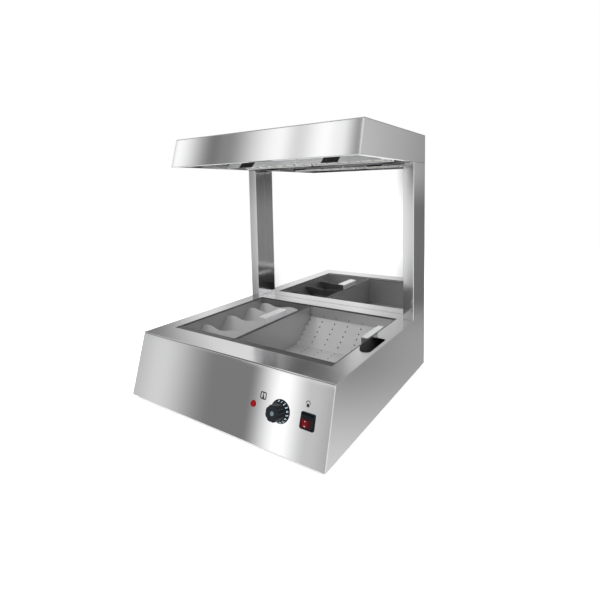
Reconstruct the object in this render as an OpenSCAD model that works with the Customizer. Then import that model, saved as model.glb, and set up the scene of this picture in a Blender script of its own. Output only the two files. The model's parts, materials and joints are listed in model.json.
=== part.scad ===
/* [Body] */
// Width of the base and of the canopy
body_w = 580; // [550:1:640]
// Depth of the deck from its front edge to its rear edge
deck_d = 538; // [520:1:580]
// Height of the base from its bottom edge to the deck's top face
base_h = 154; // [150:1:180]
// How far the front panel's bottom edge stands ahead of its top edge
front_run = 45; // [30:1:55]
// Thickness of the outer sheet
sheet_t = 1.5; // [1.2:0.1:2]
// Height of the feet
foot_h = 10; // [8:1:30]
// Diameter of a foot where it meets the bottom plate
foot_d = 32; // [24:1:40]
// Distance of a foot's middle from the edges of the base
foot_inset = 50; // [40:1:70]

/* [Deck] */
// Deck in front of the pans
rim_front = 66; // [60:1:76]
// Deck behind the pans
rim_rear = 99; // [98:1:110]
// Deck to the left of the pans
rim_left = 44; // [40:1:52]
// Deck to the right of the pans
rim_right = 46; // [44:1:54]
// Depth of the folded edge round the opening
deck_fold = 8; // [4:1:10]
// Gap between the deck and the top of the front panel
front_gap = 1; // [0.2:0.1:2]
// Length of the finger notch beside the right pan
notch_l = 102; // [80:1:120]
// Width of the finger notch
notch_w = 36.5; // [26:0.5:37]
// Corner radius at the front of the finger notch
notch_r = 14; // [6:1:16]
// Corner radius at the rear of the finger notch
notch_end_r = 5; // [2:0.5:10]
// Distance from the front of the opening to the finger notch
notch_set = 102; // [90:1:125]

/* [Pans] */
// Width of the left pan over its rim
left_pan_w = 198; // [180:1:215]
// Clearance round each pan in the opening
pan_gap = 1.5; // [0.6:0.1:2]
// Depth of the pans
pan_h = 110; // [100:1:112]
// Thickness of the pan sheet
pan_t = 1; // [0.8:0.1:1.5]
// Drop of the pan rims below the deck's top face
pan_drop = 1.5; // [1:0.1:3]
// Width of a pan's rim at its front
lip_front = 20; // [14:1:24]
// Width of a pan's rim at its sides
lip_side = 2.2; // [1.6:0.1:4]
// Width of a pan's rim at its rear
lip_rear = 1.6; // [1.2:0.1:4]
// Corner radius of a pan's rim
lip_r = 5; // [3:0.5:8]
// Outer corner radius of the pan walls
wall_r = 3; // [2:0.5:5]

/* [Sloping dividers] */
// Horizontal run of a divider between its foot and its top
plate_run = 82; // [60:1:90]
// Drop of the dividers' tops below the pan's rim
plate_drop = 18; // [12:1:30]
// Thickness of a divider
plate_t = 1.2; // [0.8:0.1:2]
// Height of the waves along a divider's top edge
wave_h = 6; // [2:0.5:9]

/* [Perforated insert] */
// Thickness of the insert
insert_t = 1; // [0.8:0.1:1.5]
// Clearance between the insert and the pan's walls
insert_gap = 0.6; // [0.5:0.1:1.5]
// Height of the insert's floor above the pan's floor
insert_lift = 11.5; // [8:0.5:16]
// Drop from the pan's rim to the insert's upper bend
bend_drop = 34; // [24:1:44]
// Horizontal run of the insert's slope
slope_run = 84; // [70:1:110]
// Diameter of the drain holes
hole_d = 4.5; // [3:0.5:6]
// Distance between two columns of holes
hole_pitch_x = 44; // [36:1:60]
// Distance between two rows of holes along the sheet
hole_pitch_y = 18.6; // [15:0.1:30]
// Distance from the first column of holes to the insert's edge
hole_edge = 4.6; // [4:0.1:12]

/* [Handles] */
// Length of a pan handle
handle_l = 98; // [80:1:120]
// Height of a pan handle above the deck
handle_rise = 18; // [14:1:30]
// Reach of the left pan's handle over its pan
left_reach = 24; // [16:1:30]
// Reach of the right pan's handle over the deck
right_reach = 18; // [14:1:24]
// Thickness of a handle
handle_t = 1.5; // [1.2:0.1:2]
// Outer bend radius of a handle
handle_bend = 3; // [2.2:0.1:5]
// Distance from the front of the opening to a handle's middle
handle_set = 193; // [170:1:215]

/* [Posts and back] */
// Width of a post
post_w = 30; // [26:1:36]
// Depth of a post
post_d = 96; // [80:1:97]
// Height of the space between the deck and the canopy
serving_h = 437; // [380:1:500]
// Distance from the rear face to the back panel's front face
mirror_set = 50; // [30:1:70]
// Depth of the folded edges of the back panel
back_fold = 15; // [8:1:24]

/* [Canopy] */
// Height of the canopy
canopy_h = 78; // [70:1:100]
// Depth of the canopy's top
canopy_d = 403; // [380:1:440]
// Width of the folded edge along the canopy's bottom
canopy_lip = 14; // [8:1:20]

/* [Heat lamps] */
// Length of a lamp reflector
lamp_l = 250; // [220:1:255]
// Gap between the two reflectors
lamp_gap = 6; // [4:1:20]
// Width of a reflector's open side
mouth_w = 100; // [80:1:120]
// Width of a reflector's top
crown_w = 36; // [30:1:50]
// Height of a reflector
reflector_h = 30; // [26:1:40]
// Thickness of the reflector sheet
reflector_t = 0.8; // [0.6:0.1:1.2]
// Diameter of a lamp's quartz tube
tube_d = 10; // [8:0.5:14]
// Width of the strap that carries a reflector
strap_w = 50; // [30:1:60]
// Diameter of the guard's cross wires
wire_d = 2.5; // [2:0.1:4]

/* [Controls] */
// Distance of the pilot lamp's middle from the base's right edge
pilot_edge = 185; // [170:1:210]
// Height of the pilot lamp's middle in the front panel
pilot_z = 75.5; // [60:0.5:90]
// Diameter of the pilot lamp's lens
pilot_d = 14; // [10:0.2:16]
// Distance of the knob's middle from the base's right edge
knob_edge = 116; // [105:1:130]
// Height of the knob's middle in the front panel
knob_z = 77.5; // [65:0.5:85]
// Diameter of the knob's dial
dial_d = 47; // [42:1:52]
// Height of the dial's sloping skirt above the front panel
dial_t = 9.5; // [5:0.5:12]
// Diameter of the knob's grip
grip_d = 33; // [28:1:36]
// Height of the knob above the front panel
knob_h = 30; // [22:1:34]
// Diameter of the thermostat's shaft
shaft_d = 6; // [5:0.5:8]
// Distance of the rocker switch's middle from the base's right edge
switch_edge = 49.5; // [40:0.5:58]
// Height of the rocker switch's middle in the front panel
switch_z = 76.5; // [65:0.5:85]
// Width and height of the switch's frame
switch_w = 32; // [30:1:36]
// Height of the switch's frame above the front panel
frame_h = 4; // [3:0.5:6]

/* [Hidden] */
$fn = 48;

// Clearances and the overrun of cutting tools
seam = 0.2;
seat_gap = 0.3;
run_fit = 0.05;
cut = 1;

// Controls behind the front panel
bezel_w = 1.2;
bezel_t = 1.2;
pilot_body_l = 28;
pilot_wall = 1.4;
dial_gap = 0.6;
dial_edge = 1.2;
dial_step = 0.6;
hub_d = 12;
grip_edge = 1.4;
flute_count = 8;
flute_r = 6;
flute_depth = 1.5;
dish_d = 17;
dish_depth = 0.8;
cap_d = 8.6;
cap_t = 0.6;
shaft_in = 14;
shaft_out = 22;
bush_d = 10;
bush_fit = 0.3;
stat_w = 36;
stat_l = 26;
stat_can_d = 30;
stat_can_l = 9;
frame_r = 3;
housing_w = 30;
housing_l = 24;
rocker_w = 26.4;
rocker_span = 22.4;
rocker_top = 3;
rocker_ridge = 9.6;
rocker_foot = 10.4;
rocker_back = 6;
ridge_share = 0.81;
rocker_pin_d = 3;
rocker_pin_l = 0.9;
pivot_drop = 1;
rocker_side_gap = 0.4;
rocker_end_gap = 2.6;
lens_t = 1.2;
lens_edge = 1;

// Well, heater and wiring
well_t = 1.2;
well_floor = 28;
well_side = 12;
well_end = 8;
notch_side = 4;
notch_bend_share = 0.3;
rail_w = 16;
rail_place_shares = [0.16, 0.84];
element_d = 6.5;
element_drop = 5.8;
element_legs = 4;
element_pitch = 74;
element_end = 60;
element_tail = 14;
clip_w = 10;
clip_t = 1.5;
clip_place_shares = [-0.3, 0.3];
slab_gap = 3;
probe_d = 7;
probe_l = 95;
capillary_d = 2;
block_w = 60;
block_d = 22;
block_h = 20;
block_poles = 5;
block_pole_d = 5;
block_place_share = 0.25;
block_lift = 30;
gland_place_share = -0.34;
gland_z = 46;
gland_nut_d = 24;
gland_nut_t = 5;
gland_cap_d = 20;
gland_cap_l = 11;
gland_thread_d = 16;
gland_bore_d = 9;
gland_in = 8;
screw_head_d = 8;
screw_head_h = 2.4;
screw_d = 4;
screw_in = 5;
screw_edge = 12;
screw_cols = 4;
screw_fit = 0.3;
vent_l = 44;
vent_w = 4;
vent_pitch = 10;
vent_rows = 5;
vent_place_shares = [-0.12, 0.2];
stud_d = 6;
stud_l = 8;
foot_taper = 4;
foot_recess = 1.5;

// Lamps
holder_l = 12;
holder_w = 20;
holder_h = 22;
tube_lift = 14;
cap_len = 10;
cap_grow = 2;
strap_t = 1.5;
riser_t = 2;
bracket_place_shares = [-0.19, -0.06];
lamp_place_share = 0.48;
guard_wires = 7;
guard_lift = 5;
guard_rail_share = 0.36;
guard_rail_d = 3;
weld_gap = 0.05;

// Heights
base_z = foot_h;
deck_z = base_z + base_h;
under_deck = deck_z - sheet_t;
panel_top = under_deck - seam;
front_top = under_deck - front_gap;
canopy_z = deck_z + serving_h;
roof_z = canopy_z + canopy_h;
rim_z = deck_z - pan_drop;
pan_z = rim_z - pan_h;
well_z = base_z + well_floor;

// Places front to back, with the knob's and the gland's reach round the middle
lean = atan(front_run / base_h);
lean_run = front_run / base_h;
base_d = deck_d + front_run;
knob_reach = knob_h * cos(lean) + grip_d / 2 * sin(lean) - knob_z * lean_run;
lead = max(0, knob_reach);
gland_reach = gland_nut_t + gland_cap_l;
rear_y = (base_d + lead + gland_reach) / 2 - gland_reach;
deck_y = rear_y - deck_d;
open_y0 = deck_y + rim_front;
open_y1 = rear_y - rim_rear;
roof_y = rear_y - canopy_d;
slant_t = sheet_t / cos(lean);
inner_rear_y = rear_y - sheet_t - seam;

// Places left to right
half_w = body_w / 2;
inner_x = half_w - sheet_t - seam;
pilot_x = half_w - pilot_edge;
knob_x = half_w - knob_edge;
switch_x = half_w - switch_edge;
open_x0 = -half_w + rim_left;
open_x1 = half_w - rim_right;
left_x0 = open_x0 + pan_gap;
left_x1 = left_x0 + left_pan_w;
right_x0 = left_x1 + pan_gap;
right_x1 = open_x1 - pan_gap;
pan_y0 = open_y0 + pan_gap;
pan_y1 = open_y1 - pan_gap;
well_x0 = open_x0 - well_side;
well_x1 = open_x1 + notch_w + notch_side;
well_y0 = open_y0 - well_end;
well_y1 = open_y1 + well_end;

// Inside of the pans
in_y0 = pan_y0 + lip_front + pan_t;
in_y1 = pan_y1 - lip_rear - pan_t;
left_in0 = left_x0 + lip_side + pan_t;
left_in1 = left_x1 - lip_side - pan_t;
right_in0 = right_x0 + lip_side + pan_t;
right_in1 = right_x1 - lip_side - pan_t;
floor_z = pan_z + pan_t;
plate_place_shares = [0.21, 0.505, 0.79, 0.985];
plate_top = rim_z - plate_drop;
wave_points = 32;
wave_peak_share = 0.12;
wave_length_share = 0.53;

// The lamps hang on a line across the canopy
lamp_y = rear_y - canopy_d * lamp_place_share;
lamp_step = (lamp_l + lamp_gap) / 2;
wing_run = (mouth_w - crown_w) / 2;

// Front face of the base at height z, and of the canopy
function face_y(z) = deck_y - (deck_z - z) * lean_run;
function roof_face_y(z) = roof_y - (roof_z - z) * lean_run;

// Places children on the front panel, with +Z out of the panel and +Y up along it
module on_front(x, z) {
    translate([x, face_y(base_z + z), base_z + z])
        rotate([90 - lean, 0, 0])
            children();
}

// Extrudes an outline of Y and Z along X
module along_x(x0, x1) {
    translate([x0, 0, 0])
        rotate([90, 0, 90])
            linear_extrude(x1 - x0)
                children();
}

// A rod along X between two places
module rod_x(x0, x1, d) {
    translate([x0, 0, 0])
        rotate([0, 90, 0])
            cylinder(h = x1 - x0, d = d);
}

// A box given by its two corners
module block(low, high) {
    translate(low)
        cube(high - low);
}

// Rectangle with round corners between two corners
module round_rect(low, high, r) {
    translate([low.x + r, low.y])
        square([high.x - low.x - 2 * r, high.y - low.y]);
    translate([low.x, low.y + r])
        square([high.x - low.x, high.y - low.y - 2 * r]);
    for (x = [low.x + r, high.x - r], y = [low.y + r, high.y - r])
        translate([x, y])
            circle(r);
}

// Outer casing of the base
module front_panel() {
    color("gainsboro")
        difference() {
            along_x(-half_w, half_w)
                polygon([
                    [face_y(base_z), base_z],
                    [face_y(front_top), front_top],
                    [face_y(front_top) + slant_t, front_top],
                    [face_y(base_z) + slant_t, base_z]
                ]);
            on_front(pilot_x, pilot_z)
                cylinder(h = 4 * sheet_t, d = pilot_d + bush_fit, center = true);
            on_front(knob_x, knob_z)
                cylinder(h = 4 * sheet_t, d = bush_d + bush_fit, center = true);
            on_front(switch_x, switch_z)
                cube([housing_w + bush_fit, housing_w + bush_fit, 4 * sheet_t], center = true);
        }
}

module side_panel(x0) {
    color("silver")
        along_x(x0, x0 + sheet_t)
            polygon([
                [face_y(base_z) + slant_t + seam, base_z],
                [face_y(panel_top) + slant_t + seam, panel_top],
                [inner_rear_y, panel_top],
                [inner_rear_y, base_z]
            ]);
}

module left_side_panel() {
    side_panel(-half_w);
}

module right_side_panel() {
    side_panel(half_w - sheet_t);
}

function screw_x(i) = (i / (screw_cols - 1) - 0.5) * (body_w - 2 * screw_edge);
screw_rows = [base_z + screw_edge, panel_top - screw_edge];
gland_x = body_w * gland_place_share;

module rear_panel() {
    color("silver")
        difference() {
            block([-half_w, rear_y - sheet_t, base_z], [half_w, rear_y, panel_top]);
            translate([gland_x, rear_y, base_z + gland_z])
                rotate([90, 0, 0])
                    cylinder(h = 4 * sheet_t, d = gland_thread_d + bush_fit, center = true);
            for (i = [0 : screw_cols - 1], z = screw_rows)
                translate([screw_x(i), rear_y, z])
                    rotate([90, 0, 0])
                        cylinder(h = 4 * sheet_t, d = screw_d + screw_fit, center = true);
            for (s = vent_place_shares, k = [0 : vent_rows - 1])
                vent_slot(s * body_w, base_z + gland_z + (k - (vent_rows - 1) / 2) * vent_pitch);
        }
}

// One slot through the rear panel
module vent_slot(x, z) {
    translate([x, rear_y + cut, z])
        rotate([90, 0, 0])
            linear_extrude(sheet_t + 2 * cut)
                round_rect([-vent_l / 2, -vent_w / 2], [vent_l / 2, vent_w / 2], vent_w / 2 * 0.98);
}

module rear_panel_screws() {
    color("lightgray")
        for (i = [0 : screw_cols - 1], z = screw_rows)
            translate([screw_x(i), rear_y, z])
                rotate([-90, 0, 0])
                    screw_shape();
}

// Round-headed screw with its head above the face it holds
module screw_shape() {
    intersection() {
        cylinder(h = screw_head_h, d = screw_head_d);
        translate([0, 0, screw_head_h - screw_head_d])
            sphere(r = screw_head_d);
    }
    translate([0, 0, -screw_in])
        cylinder(h = screw_in + cut / 2, d = screw_d);
}

foot_x = half_w - foot_inset;
foot_ys = [face_y(base_z) + foot_inset, rear_y - foot_inset];

module bottom_plate() {
    color("darkgray")
        difference() {
            block([-inner_x, face_y(base_z) + slant_t + seam, base_z],
                  [inner_x, inner_rear_y, base_z + sheet_t]);
            for (x = [-foot_x, foot_x], y = foot_ys)
                translate([x, y, base_z - cut])
                    cylinder(h = sheet_t + 2 * cut, d = stud_d + screw_fit);
            translate([0, 0, base_z - cut])
                linear_extrude(sheet_t + 2 * cut)
                    polygon([
                        [-inner_x - cut, face_y(base_z)],
                        [-inner_x - cut, face_y(base_z + sheet_t) + slant_t + seam],
                        [inner_x + cut, face_y(base_z + sheet_t) + slant_t + seam],
                        [inner_x + cut, face_y(base_z)]
                    ]);
        }
}

module feet() {
    color("dimgray")
        for (x = [-foot_x, foot_x], y = foot_ys)
            translate([x, y, 0])
                difference() {
                    union() {
                        cylinder(h = foot_h, d1 = foot_d - foot_taper, d2 = foot_d);
                        cylinder(h = foot_h + stud_l, d = stud_d);
                    }
                    translate([0, 0, -cut])
                        cylinder(h = foot_recess + cut, d = stud_d * 2);
                }
}

// Deck with its opening, folded edge and finger notch
module deck() {
    color("gainsboro")
        difference() {
            union() {
                block([-half_w, deck_y, under_deck], [half_w, rear_y, deck_z]);
                block([open_x0 - sheet_t, open_y0 - sheet_t, deck_z - deck_fold],
                      [open_x1 + sheet_t, open_y1 + sheet_t, deck_z]);
            }
            block([open_x0, open_y0, deck_z - deck_fold - cut], [open_x1, open_y1, deck_z + cut]);
            translate([0, 0, deck_z - deck_fold - cut])
                linear_extrude(deck_fold + 2 * cut)
                    notch_outline();
        }
}

notch_y0 = open_y0 + notch_set;
notch_y1 = notch_y0 + notch_l;

notch_bend = [open_x1, notch_y0 + notch_l * notch_bend_share];
notch_front = [open_x1 + notch_w - notch_r, notch_y0 + notch_r];
notch_rear = [open_x1 + notch_w - notch_end_r, notch_y1 - notch_end_r];

// Slot open to the opening, whose front end swings out round its corner
module notch_outline() {
    away = notch_bend - notch_front;
    turn = atan2(away.y, away.x) + acos(notch_r / norm(away));
    polygon([
        notch_bend,
        notch_front + notch_r * [cos(turn), sin(turn)],
        notch_front,
        [notch_front.x, notch_bend.y + cut],
        [notch_bend.x, notch_bend.y + cut]
    ]);
    translate(notch_front)
        circle(notch_r);
    translate(notch_front)
        square([notch_r, notch_rear.y - notch_front.y]);
    translate(notch_rear)
        circle(notch_end_r);
    translate([open_x1 - cut - sheet_t, notch_bend.y])
        square([notch_rear.x - open_x1 + cut + sheet_t, notch_y1 - notch_bend.y]);
}

// Well under the deck that the pans hang in
module well_liner() {
    color("silver")
        difference() {
            block([well_x0 - well_t, well_y0 - well_t, well_z],
                  [well_x1 + well_t, well_y1 + well_t, under_deck - seam]);
            block([well_x0, well_y0, well_z + well_t], [well_x1, well_y1, deck_z]);
            for (k = [0, element_legs - 1])
                translate([0, element_y(k), element_z])
                    rod_x(well_x0 - 2 * cut, well_x0 + cut, element_d + bush_fit);
        }
}

rail_h = pan_z - seat_gap - well_z - well_t;

module pan_rails() {
    color("silver")
        for (s = rail_place_shares)
            translate([0, open_y0 + s * (open_y1 - open_y0), 0])
                difference() {
                    block([well_x0 + seam, -rail_w / 2, well_z + well_t],
                          [well_x1 - seam, rail_w / 2, well_z + well_t + rail_h]);
                    block([well_x0 + seam - cut, -rail_w / 2 + well_t, well_z],
                          [well_x1 - seam + cut, rail_w / 2 - well_t,
                           well_z + rail_h]);
                }
}

// Serpentine heating element close under the pans
element_z = pan_z - element_drop;
function element_y(k) = (open_y0 + open_y1) / 2 + (k - (element_legs - 1) / 2) * element_pitch / 2;

module well_heater() {
    color("slategray") {
        for (k = [0 : element_legs - 1])
            translate([0, element_y(k), element_z])
                rod_x(k == 0 || k == element_legs - 1 ? well_x0 - element_tail : open_x0 + element_end,
                      open_x1 - element_end, element_d);
        for (k = [0 : element_legs - 2])
            translate([k % 2 == 0 ? open_x1 - element_end : open_x0 + element_end,
                       (element_y(k) + element_y(k + 1)) / 2, element_z])
                rotate([0, 0, k % 2 == 0 ? -90 : 90])
                    rotate_extrude(angle = 180)
                        translate([element_pitch / 4, 0])
                            circle(d = element_d);
    }
}

module heater_clips() {
    color("silver")
        for (s = clip_place_shares)
            translate([s * body_w, 0, 0])
                for (y = [element_y(0), element_y(element_legs - 1)])
                    heater_clip(y);
}

// Post from the well's floor with a saddle under the element
module heater_clip(y) {
    block([-clip_w / 2, y - clip_w / 2, well_z + well_t],
          [clip_w / 2, y + clip_w / 2, element_z - element_d / 2 - seam]);
}

module insulation_slab() {
    color("khaki")
        block([well_x0, well_y0, base_z + sheet_t + slab_gap], [well_x1, well_y1, well_z - seam]);
}

// Thermostat behind the front panel, with a bush through it
module thermostat_body() {
    color("dimgray")
        on_front(knob_x, knob_z)
            difference() {
                union() {
                    translate([0, 0, -sheet_t - seam - stat_l / 2])
                        cube([stat_w, stat_w, stat_l], center = true);
                    translate([0, 0, -sheet_t - seam - stat_l - stat_can_l])
                        cylinder(h = stat_can_l + cut, d = stat_can_d);
                    translate([0, 0, -sheet_t - seam - cut])
                        cylinder(h = sheet_t + seam + cut, d = bush_d);
                }
                translate([0, 0, -shaft_in - seam])
                    cylinder(h = shaft_in + seam + cut, d = shaft_d + 2 * run_fit);
            }
}

// Sensing bulb on the well's front wall and the capillary back to the thermostat
probe_z = 30;
probe_y = well_y0 - well_t - probe_d / 2 - seam;

module thermostat_probe() {
    color("peru") {
        translate([0, probe_y, well_z + probe_z])
            rod_x(knob_x - stat_w - probe_l, knob_x - stat_w, probe_d);
        translate([0, probe_y, well_z + probe_z])
            rod_x(knob_x - stat_w - cut, knob_x - stat_can_d / 2, capillary_d);
    }
}

// Pilot lamp with its bezel in front of the panel
module pilot_lamp_holder() {
    color("black")
        on_front(pilot_x, pilot_z)
            difference() {
                union() {
                    translate([0, 0, -pilot_body_l])
                        cylinder(h = pilot_body_l, d = pilot_d);
                    cylinder(h = bezel_t, d = pilot_d + 2 * bezel_w);
                }
                translate([0, 0, -pilot_body_l / 2])
                    cylinder(h = pilot_body_l, d = pilot_d - 2 * pilot_wall);
            }
}

lens_d = pilot_d - 2 * pilot_wall - 2 * run_fit;

module pilot_lens() {
    color("firebrick")
        on_front(pilot_x, pilot_z) {
            translate([0, 0, bezel_t + seam])
                intersection() {
                    cylinder(h = pilot_d, d = pilot_d);
                    sphere(d = pilot_d * 0.98);
                }
            translate([0, 0, -pilot_body_l / 4])
                cylinder(h = pilot_body_l / 4 + bezel_t + cut, d = lens_d);
        }
}

// Knob: dial, grip, cap and the shaft that they turn with
module knob_dial() {
    color("black")
        on_front(knob_x, knob_z)
            rotate_extrude()
                polygon([
                    [hub_d / 2, dial_gap],
                    [dial_d / 2, dial_gap],
                    [dial_d / 2, dial_gap + dial_edge],
                    [grip_d / 2 + dial_step, dial_t],
                    [hub_d / 2, dial_t]
                ]);
}

module knob_grip() {
    color("black")
        on_front(knob_x, knob_z)
            difference() {
                rotate_extrude()
                    polygon([
                        [0, dial_t + seam],
                        [grip_d / 2, dial_t + seam],
                        [grip_d / 2, knob_h - grip_edge],
                        [grip_d / 2 - grip_edge / 2, knob_h],
                        [dish_d / 2, knob_h],
                        [dish_d / 2 - dish_depth, knob_h - dish_depth],
                        [0, knob_h - dish_depth]
                    ]);
                for (i = [0 : flute_count - 1])
                    rotate([0, 0, i * 360 / flute_count])
                        translate([0, grip_d / 2 + flute_r - flute_depth, dial_t - cut])
                            cylinder(h = knob_h, r = flute_r);
                cylinder(h = shaft_out + seam, d = shaft_d + 2 * run_fit);
            }
}

module knob_cap() {
    color("lightsteelblue")
        on_front(knob_x, knob_z)
            translate([0, 0, knob_h - dish_depth])
                cylinder(h = cap_t, d = cap_d);
}

module thermostat_shaft() {
    color("silver")
        on_front(knob_x, knob_z)
            translate([0, 0, -shaft_in])
                cylinder(h = shaft_in + shaft_out, d = shaft_d);
}

// Rocker switch, with the rocker between the two walls that hold its pins
cavity_w = rocker_w + 2 * rocker_side_gap;
cavity_h = rocker_span + 2 * rocker_end_gap;
cavity_l = rocker_back + 4 * rocker_side_gap;

module switch_housing() {
    color("black")
        on_front(switch_x, switch_z)
            difference() {
                union() {
                    linear_extrude(frame_h)
                        round_rect([-switch_w / 2, -switch_w / 2], [switch_w / 2, switch_w / 2], frame_r);
                    translate([-housing_w / 2, -housing_w / 2, -housing_l])
                        cube([housing_w, housing_w, housing_l]);
                }
                translate([-cavity_w / 2, -cavity_h / 2, -cavity_l])
                    cube([cavity_w, cavity_h, cavity_l + frame_h + cut]);
                translate([0, 0, -pivot_drop])
                    rod_x(-cavity_w / 2 - rocker_pin_l, cavity_w / 2 + rocker_pin_l,
                          rocker_pin_d + 2 * run_fit);
            }
}

rocker_low = -rocker_span / 2;
rocker_high = rocker_span / 2;
ridge_y = rocker_low + rocker_span * ridge_share;

module switch_rocker() {
    color("black")
        on_front(switch_x, switch_z) {
            along_x(-rocker_w / 2, rocker_w / 2)
                polygon([
                    [rocker_low, -rocker_back / 2],
                    [0, -rocker_back],
                    [rocker_high, -rocker_back / 2],
                    [rocker_high, rocker_top],
                    [ridge_y, rocker_ridge],
                    [rocker_low, rocker_foot]
                ]);
            translate([0, 0, -pivot_drop])
                rod_x(-rocker_w / 2 - rocker_side_gap - rocker_pin_l / 2,
                      rocker_w / 2 + rocker_side_gap + rocker_pin_l / 2, rocker_pin_d);
        }
}

// Window on the rocker's lower face
module rocker_lens() {
    color("darkred")
        on_front(switch_x, switch_z)
            along_x(-rocker_w / 2 + lens_edge, rocker_w / 2 - lens_edge)
                polygon([
                    [rocker_low + lens_edge, lens_low],
                    [ridge_y - lens_edge, lens_high],
                    [ridge_y - lens_edge, lens_high + lens_t],
                    [rocker_low + lens_edge, lens_low + lens_t]
                ]);
}

// Heights of the lens on the rocker's slightly sloping face
lens_slope = (rocker_foot - rocker_ridge) / (ridge_y - rocker_low);
lens_low = rocker_foot - lens_edge * lens_slope;
lens_high = rocker_ridge + lens_edge * lens_slope;

module terminal_block() {
    color("ivory")
        translate([body_w * block_place_share, inner_rear_y - block_d, base_z + block_lift])
            difference() {
                translate([-block_w / 2, 0, 0])
                    cube([block_w, block_d, block_h]);
                for (i = [0 : block_poles - 1])
                    translate([((i + 0.5) / block_poles - 0.5) * block_w, block_d / 2, block_h / 2])
                        cylinder(h = block_h, d = block_pole_d);
            }
}

// Gland through the rear panel for a supply cord
module cable_gland() {
    color("black")
        translate([gland_x, rear_y, base_z + gland_z])
            rotate([-90, 0, 0])
                difference() {
                    union() {
                        cylinder(h = gland_nut_t, d = gland_nut_d);
                        translate([0, 0, gland_nut_t])
                            cylinder(h = gland_cap_l, d1 = gland_cap_d, d2 = gland_cap_d - gland_nut_t);
                        translate([0, 0, -sheet_t - gland_in])
                            cylinder(h = gland_in + sheet_t + cut, d = gland_thread_d);
                        translate([0, 0, -sheet_t - gland_nut_t - seam])
                            cylinder(h = gland_nut_t, d = gland_nut_d);
                    }
                    translate([0, 0, -sheet_t - gland_in - cut])
                        cylinder(h = gland_in + sheet_t + gland_reach + 2 * cut, d = gland_bore_d);
                }
}

// Posts and the polished back panel between them
module post(x0) {
    color("silver")
        difference() {
            block([x0, rear_y - post_d, deck_z], [x0 + post_w, rear_y, canopy_z - seam]);
            block([x0 + sheet_t, rear_y - post_d + sheet_t, deck_z - cut],
                  [x0 + post_w - sheet_t, rear_y - sheet_t, canopy_z + cut]);
        }
}

module left_post() {
    post(-half_w);
}

module right_post() {
    post(half_w - post_w);
}

module back_panel() {
    back_x = half_w - post_w - seam;
    back_y = rear_y - mirror_set;
    color("whitesmoke") {
        block([-back_x, back_y, deck_z + seam], [back_x, back_y + sheet_t, canopy_z - seam]);
        for (x0 = [-back_x, back_x - sheet_t])
            block([x0, back_y, deck_z + seam], [x0 + sheet_t, back_y + back_fold, canopy_z - seam]);
    }
}

// Canopy: sloping front, two sides, rear and top, with folded bottom edges
module canopy_front() {
    color("gainsboro")
        along_x(-half_w, half_w)
            polygon([
                [roof_face_y(canopy_z), canopy_z],
                [roof_face_y(roof_z - sheet_t - seam), roof_z - sheet_t - seam],
                [roof_face_y(roof_z - sheet_t - seam) + slant_t, roof_z - sheet_t - seam],
                [roof_face_y(canopy_z + sheet_t) + slant_t, canopy_z + sheet_t],
                [roof_face_y(canopy_z) + slant_t + canopy_lip, canopy_z + sheet_t],
                [roof_face_y(canopy_z) + slant_t + canopy_lip, canopy_z]
            ]);
}

canopy_lip_y = roof_face_y(canopy_z) + slant_t + canopy_lip + seam;

// Side of the canopy; way is 1 where its folded edge points to +X
module canopy_side(x0, way) {
    lip_x0 = way > 0 ? x0 : x0 + sheet_t - canopy_lip;
    color("silver") {
        along_x(x0, x0 + sheet_t)
            polygon([
                [canopy_lip_y, canopy_z],
                [canopy_lip_y, canopy_z + sheet_t + seam],
                [roof_face_y(canopy_z + sheet_t + seam) + slant_t + seam, canopy_z + sheet_t + seam],
                [roof_face_y(roof_z - sheet_t - seam) + slant_t + seam, roof_z - sheet_t - seam],
                [inner_rear_y, roof_z - sheet_t - seam],
                [inner_rear_y, canopy_z]
            ]);
        block([lip_x0, canopy_lip_y, canopy_z], [lip_x0 + canopy_lip, inner_rear_y - canopy_lip, canopy_z + sheet_t]);
    }
}

module canopy_left_side() {
    canopy_side(-half_w, 1);
}

module canopy_right_side() {
    canopy_side(half_w - sheet_t, -1);
}

module canopy_rear() {
    color("silver") {
        block([-half_w, rear_y - sheet_t, canopy_z], [half_w, rear_y, roof_z - sheet_t - seam]);
        block([-inner_x, inner_rear_y - canopy_lip + seam, canopy_z], [inner_x, rear_y, canopy_z + sheet_t]);
    }
}

module canopy_top() {
    color("gainsboro")
        block([-half_w, roof_y, roof_z - sheet_t], [half_w, rear_y, roof_z]);
}

// Trough outline with its mouth down, drawn inwards from the given growth
module trough(grow) {
    polygon([
        [-mouth_w / 2 - grow, 0],
        [-crown_w / 2 - grow, reflector_h + grow],
        [crown_w / 2 + grow, reflector_h + grow],
        [mouth_w / 2 + grow, 0]
    ]);
}

// Moves children to the middle of a lamp; side is -1 at the left and 1 at the right
module at_lamp(side) {
    translate([side * lamp_step, lamp_y, canopy_z])
        children();
}

module reflector(side) {
    color("white")
        at_lamp(side) {
            along_x(-lamp_l / 2, lamp_l / 2)
                difference() {
                    trough(0);
                    translate([0, -cut / 100])
                        trough(-reflector_t);
                }
            for (x0 = [-lamp_l / 2, lamp_l / 2 - reflector_t])
                along_x(x0, x0 + reflector_t)
                    difference() {
                        trough(0);
                        translate([-mouth_w, -cut])
                            square([2 * mouth_w, cut + tube_lift / 2]);
                    }
        }
}

module left_reflector() {
    reflector(-1);
}

module right_reflector() {
    reflector(1);
}

module lamp_tube(side) {
    color("antiquewhite")
        at_lamp(side)
            translate([0, 0, tube_lift])
                rod_x(-lamp_l / 2 + reflector_t + holder_l / 2, lamp_l / 2 - reflector_t - holder_l / 2,
                      tube_d);
}

module left_lamp_tube() {
    lamp_tube(-1);
}

module right_lamp_tube() {
    lamp_tube(1);
}

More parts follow.
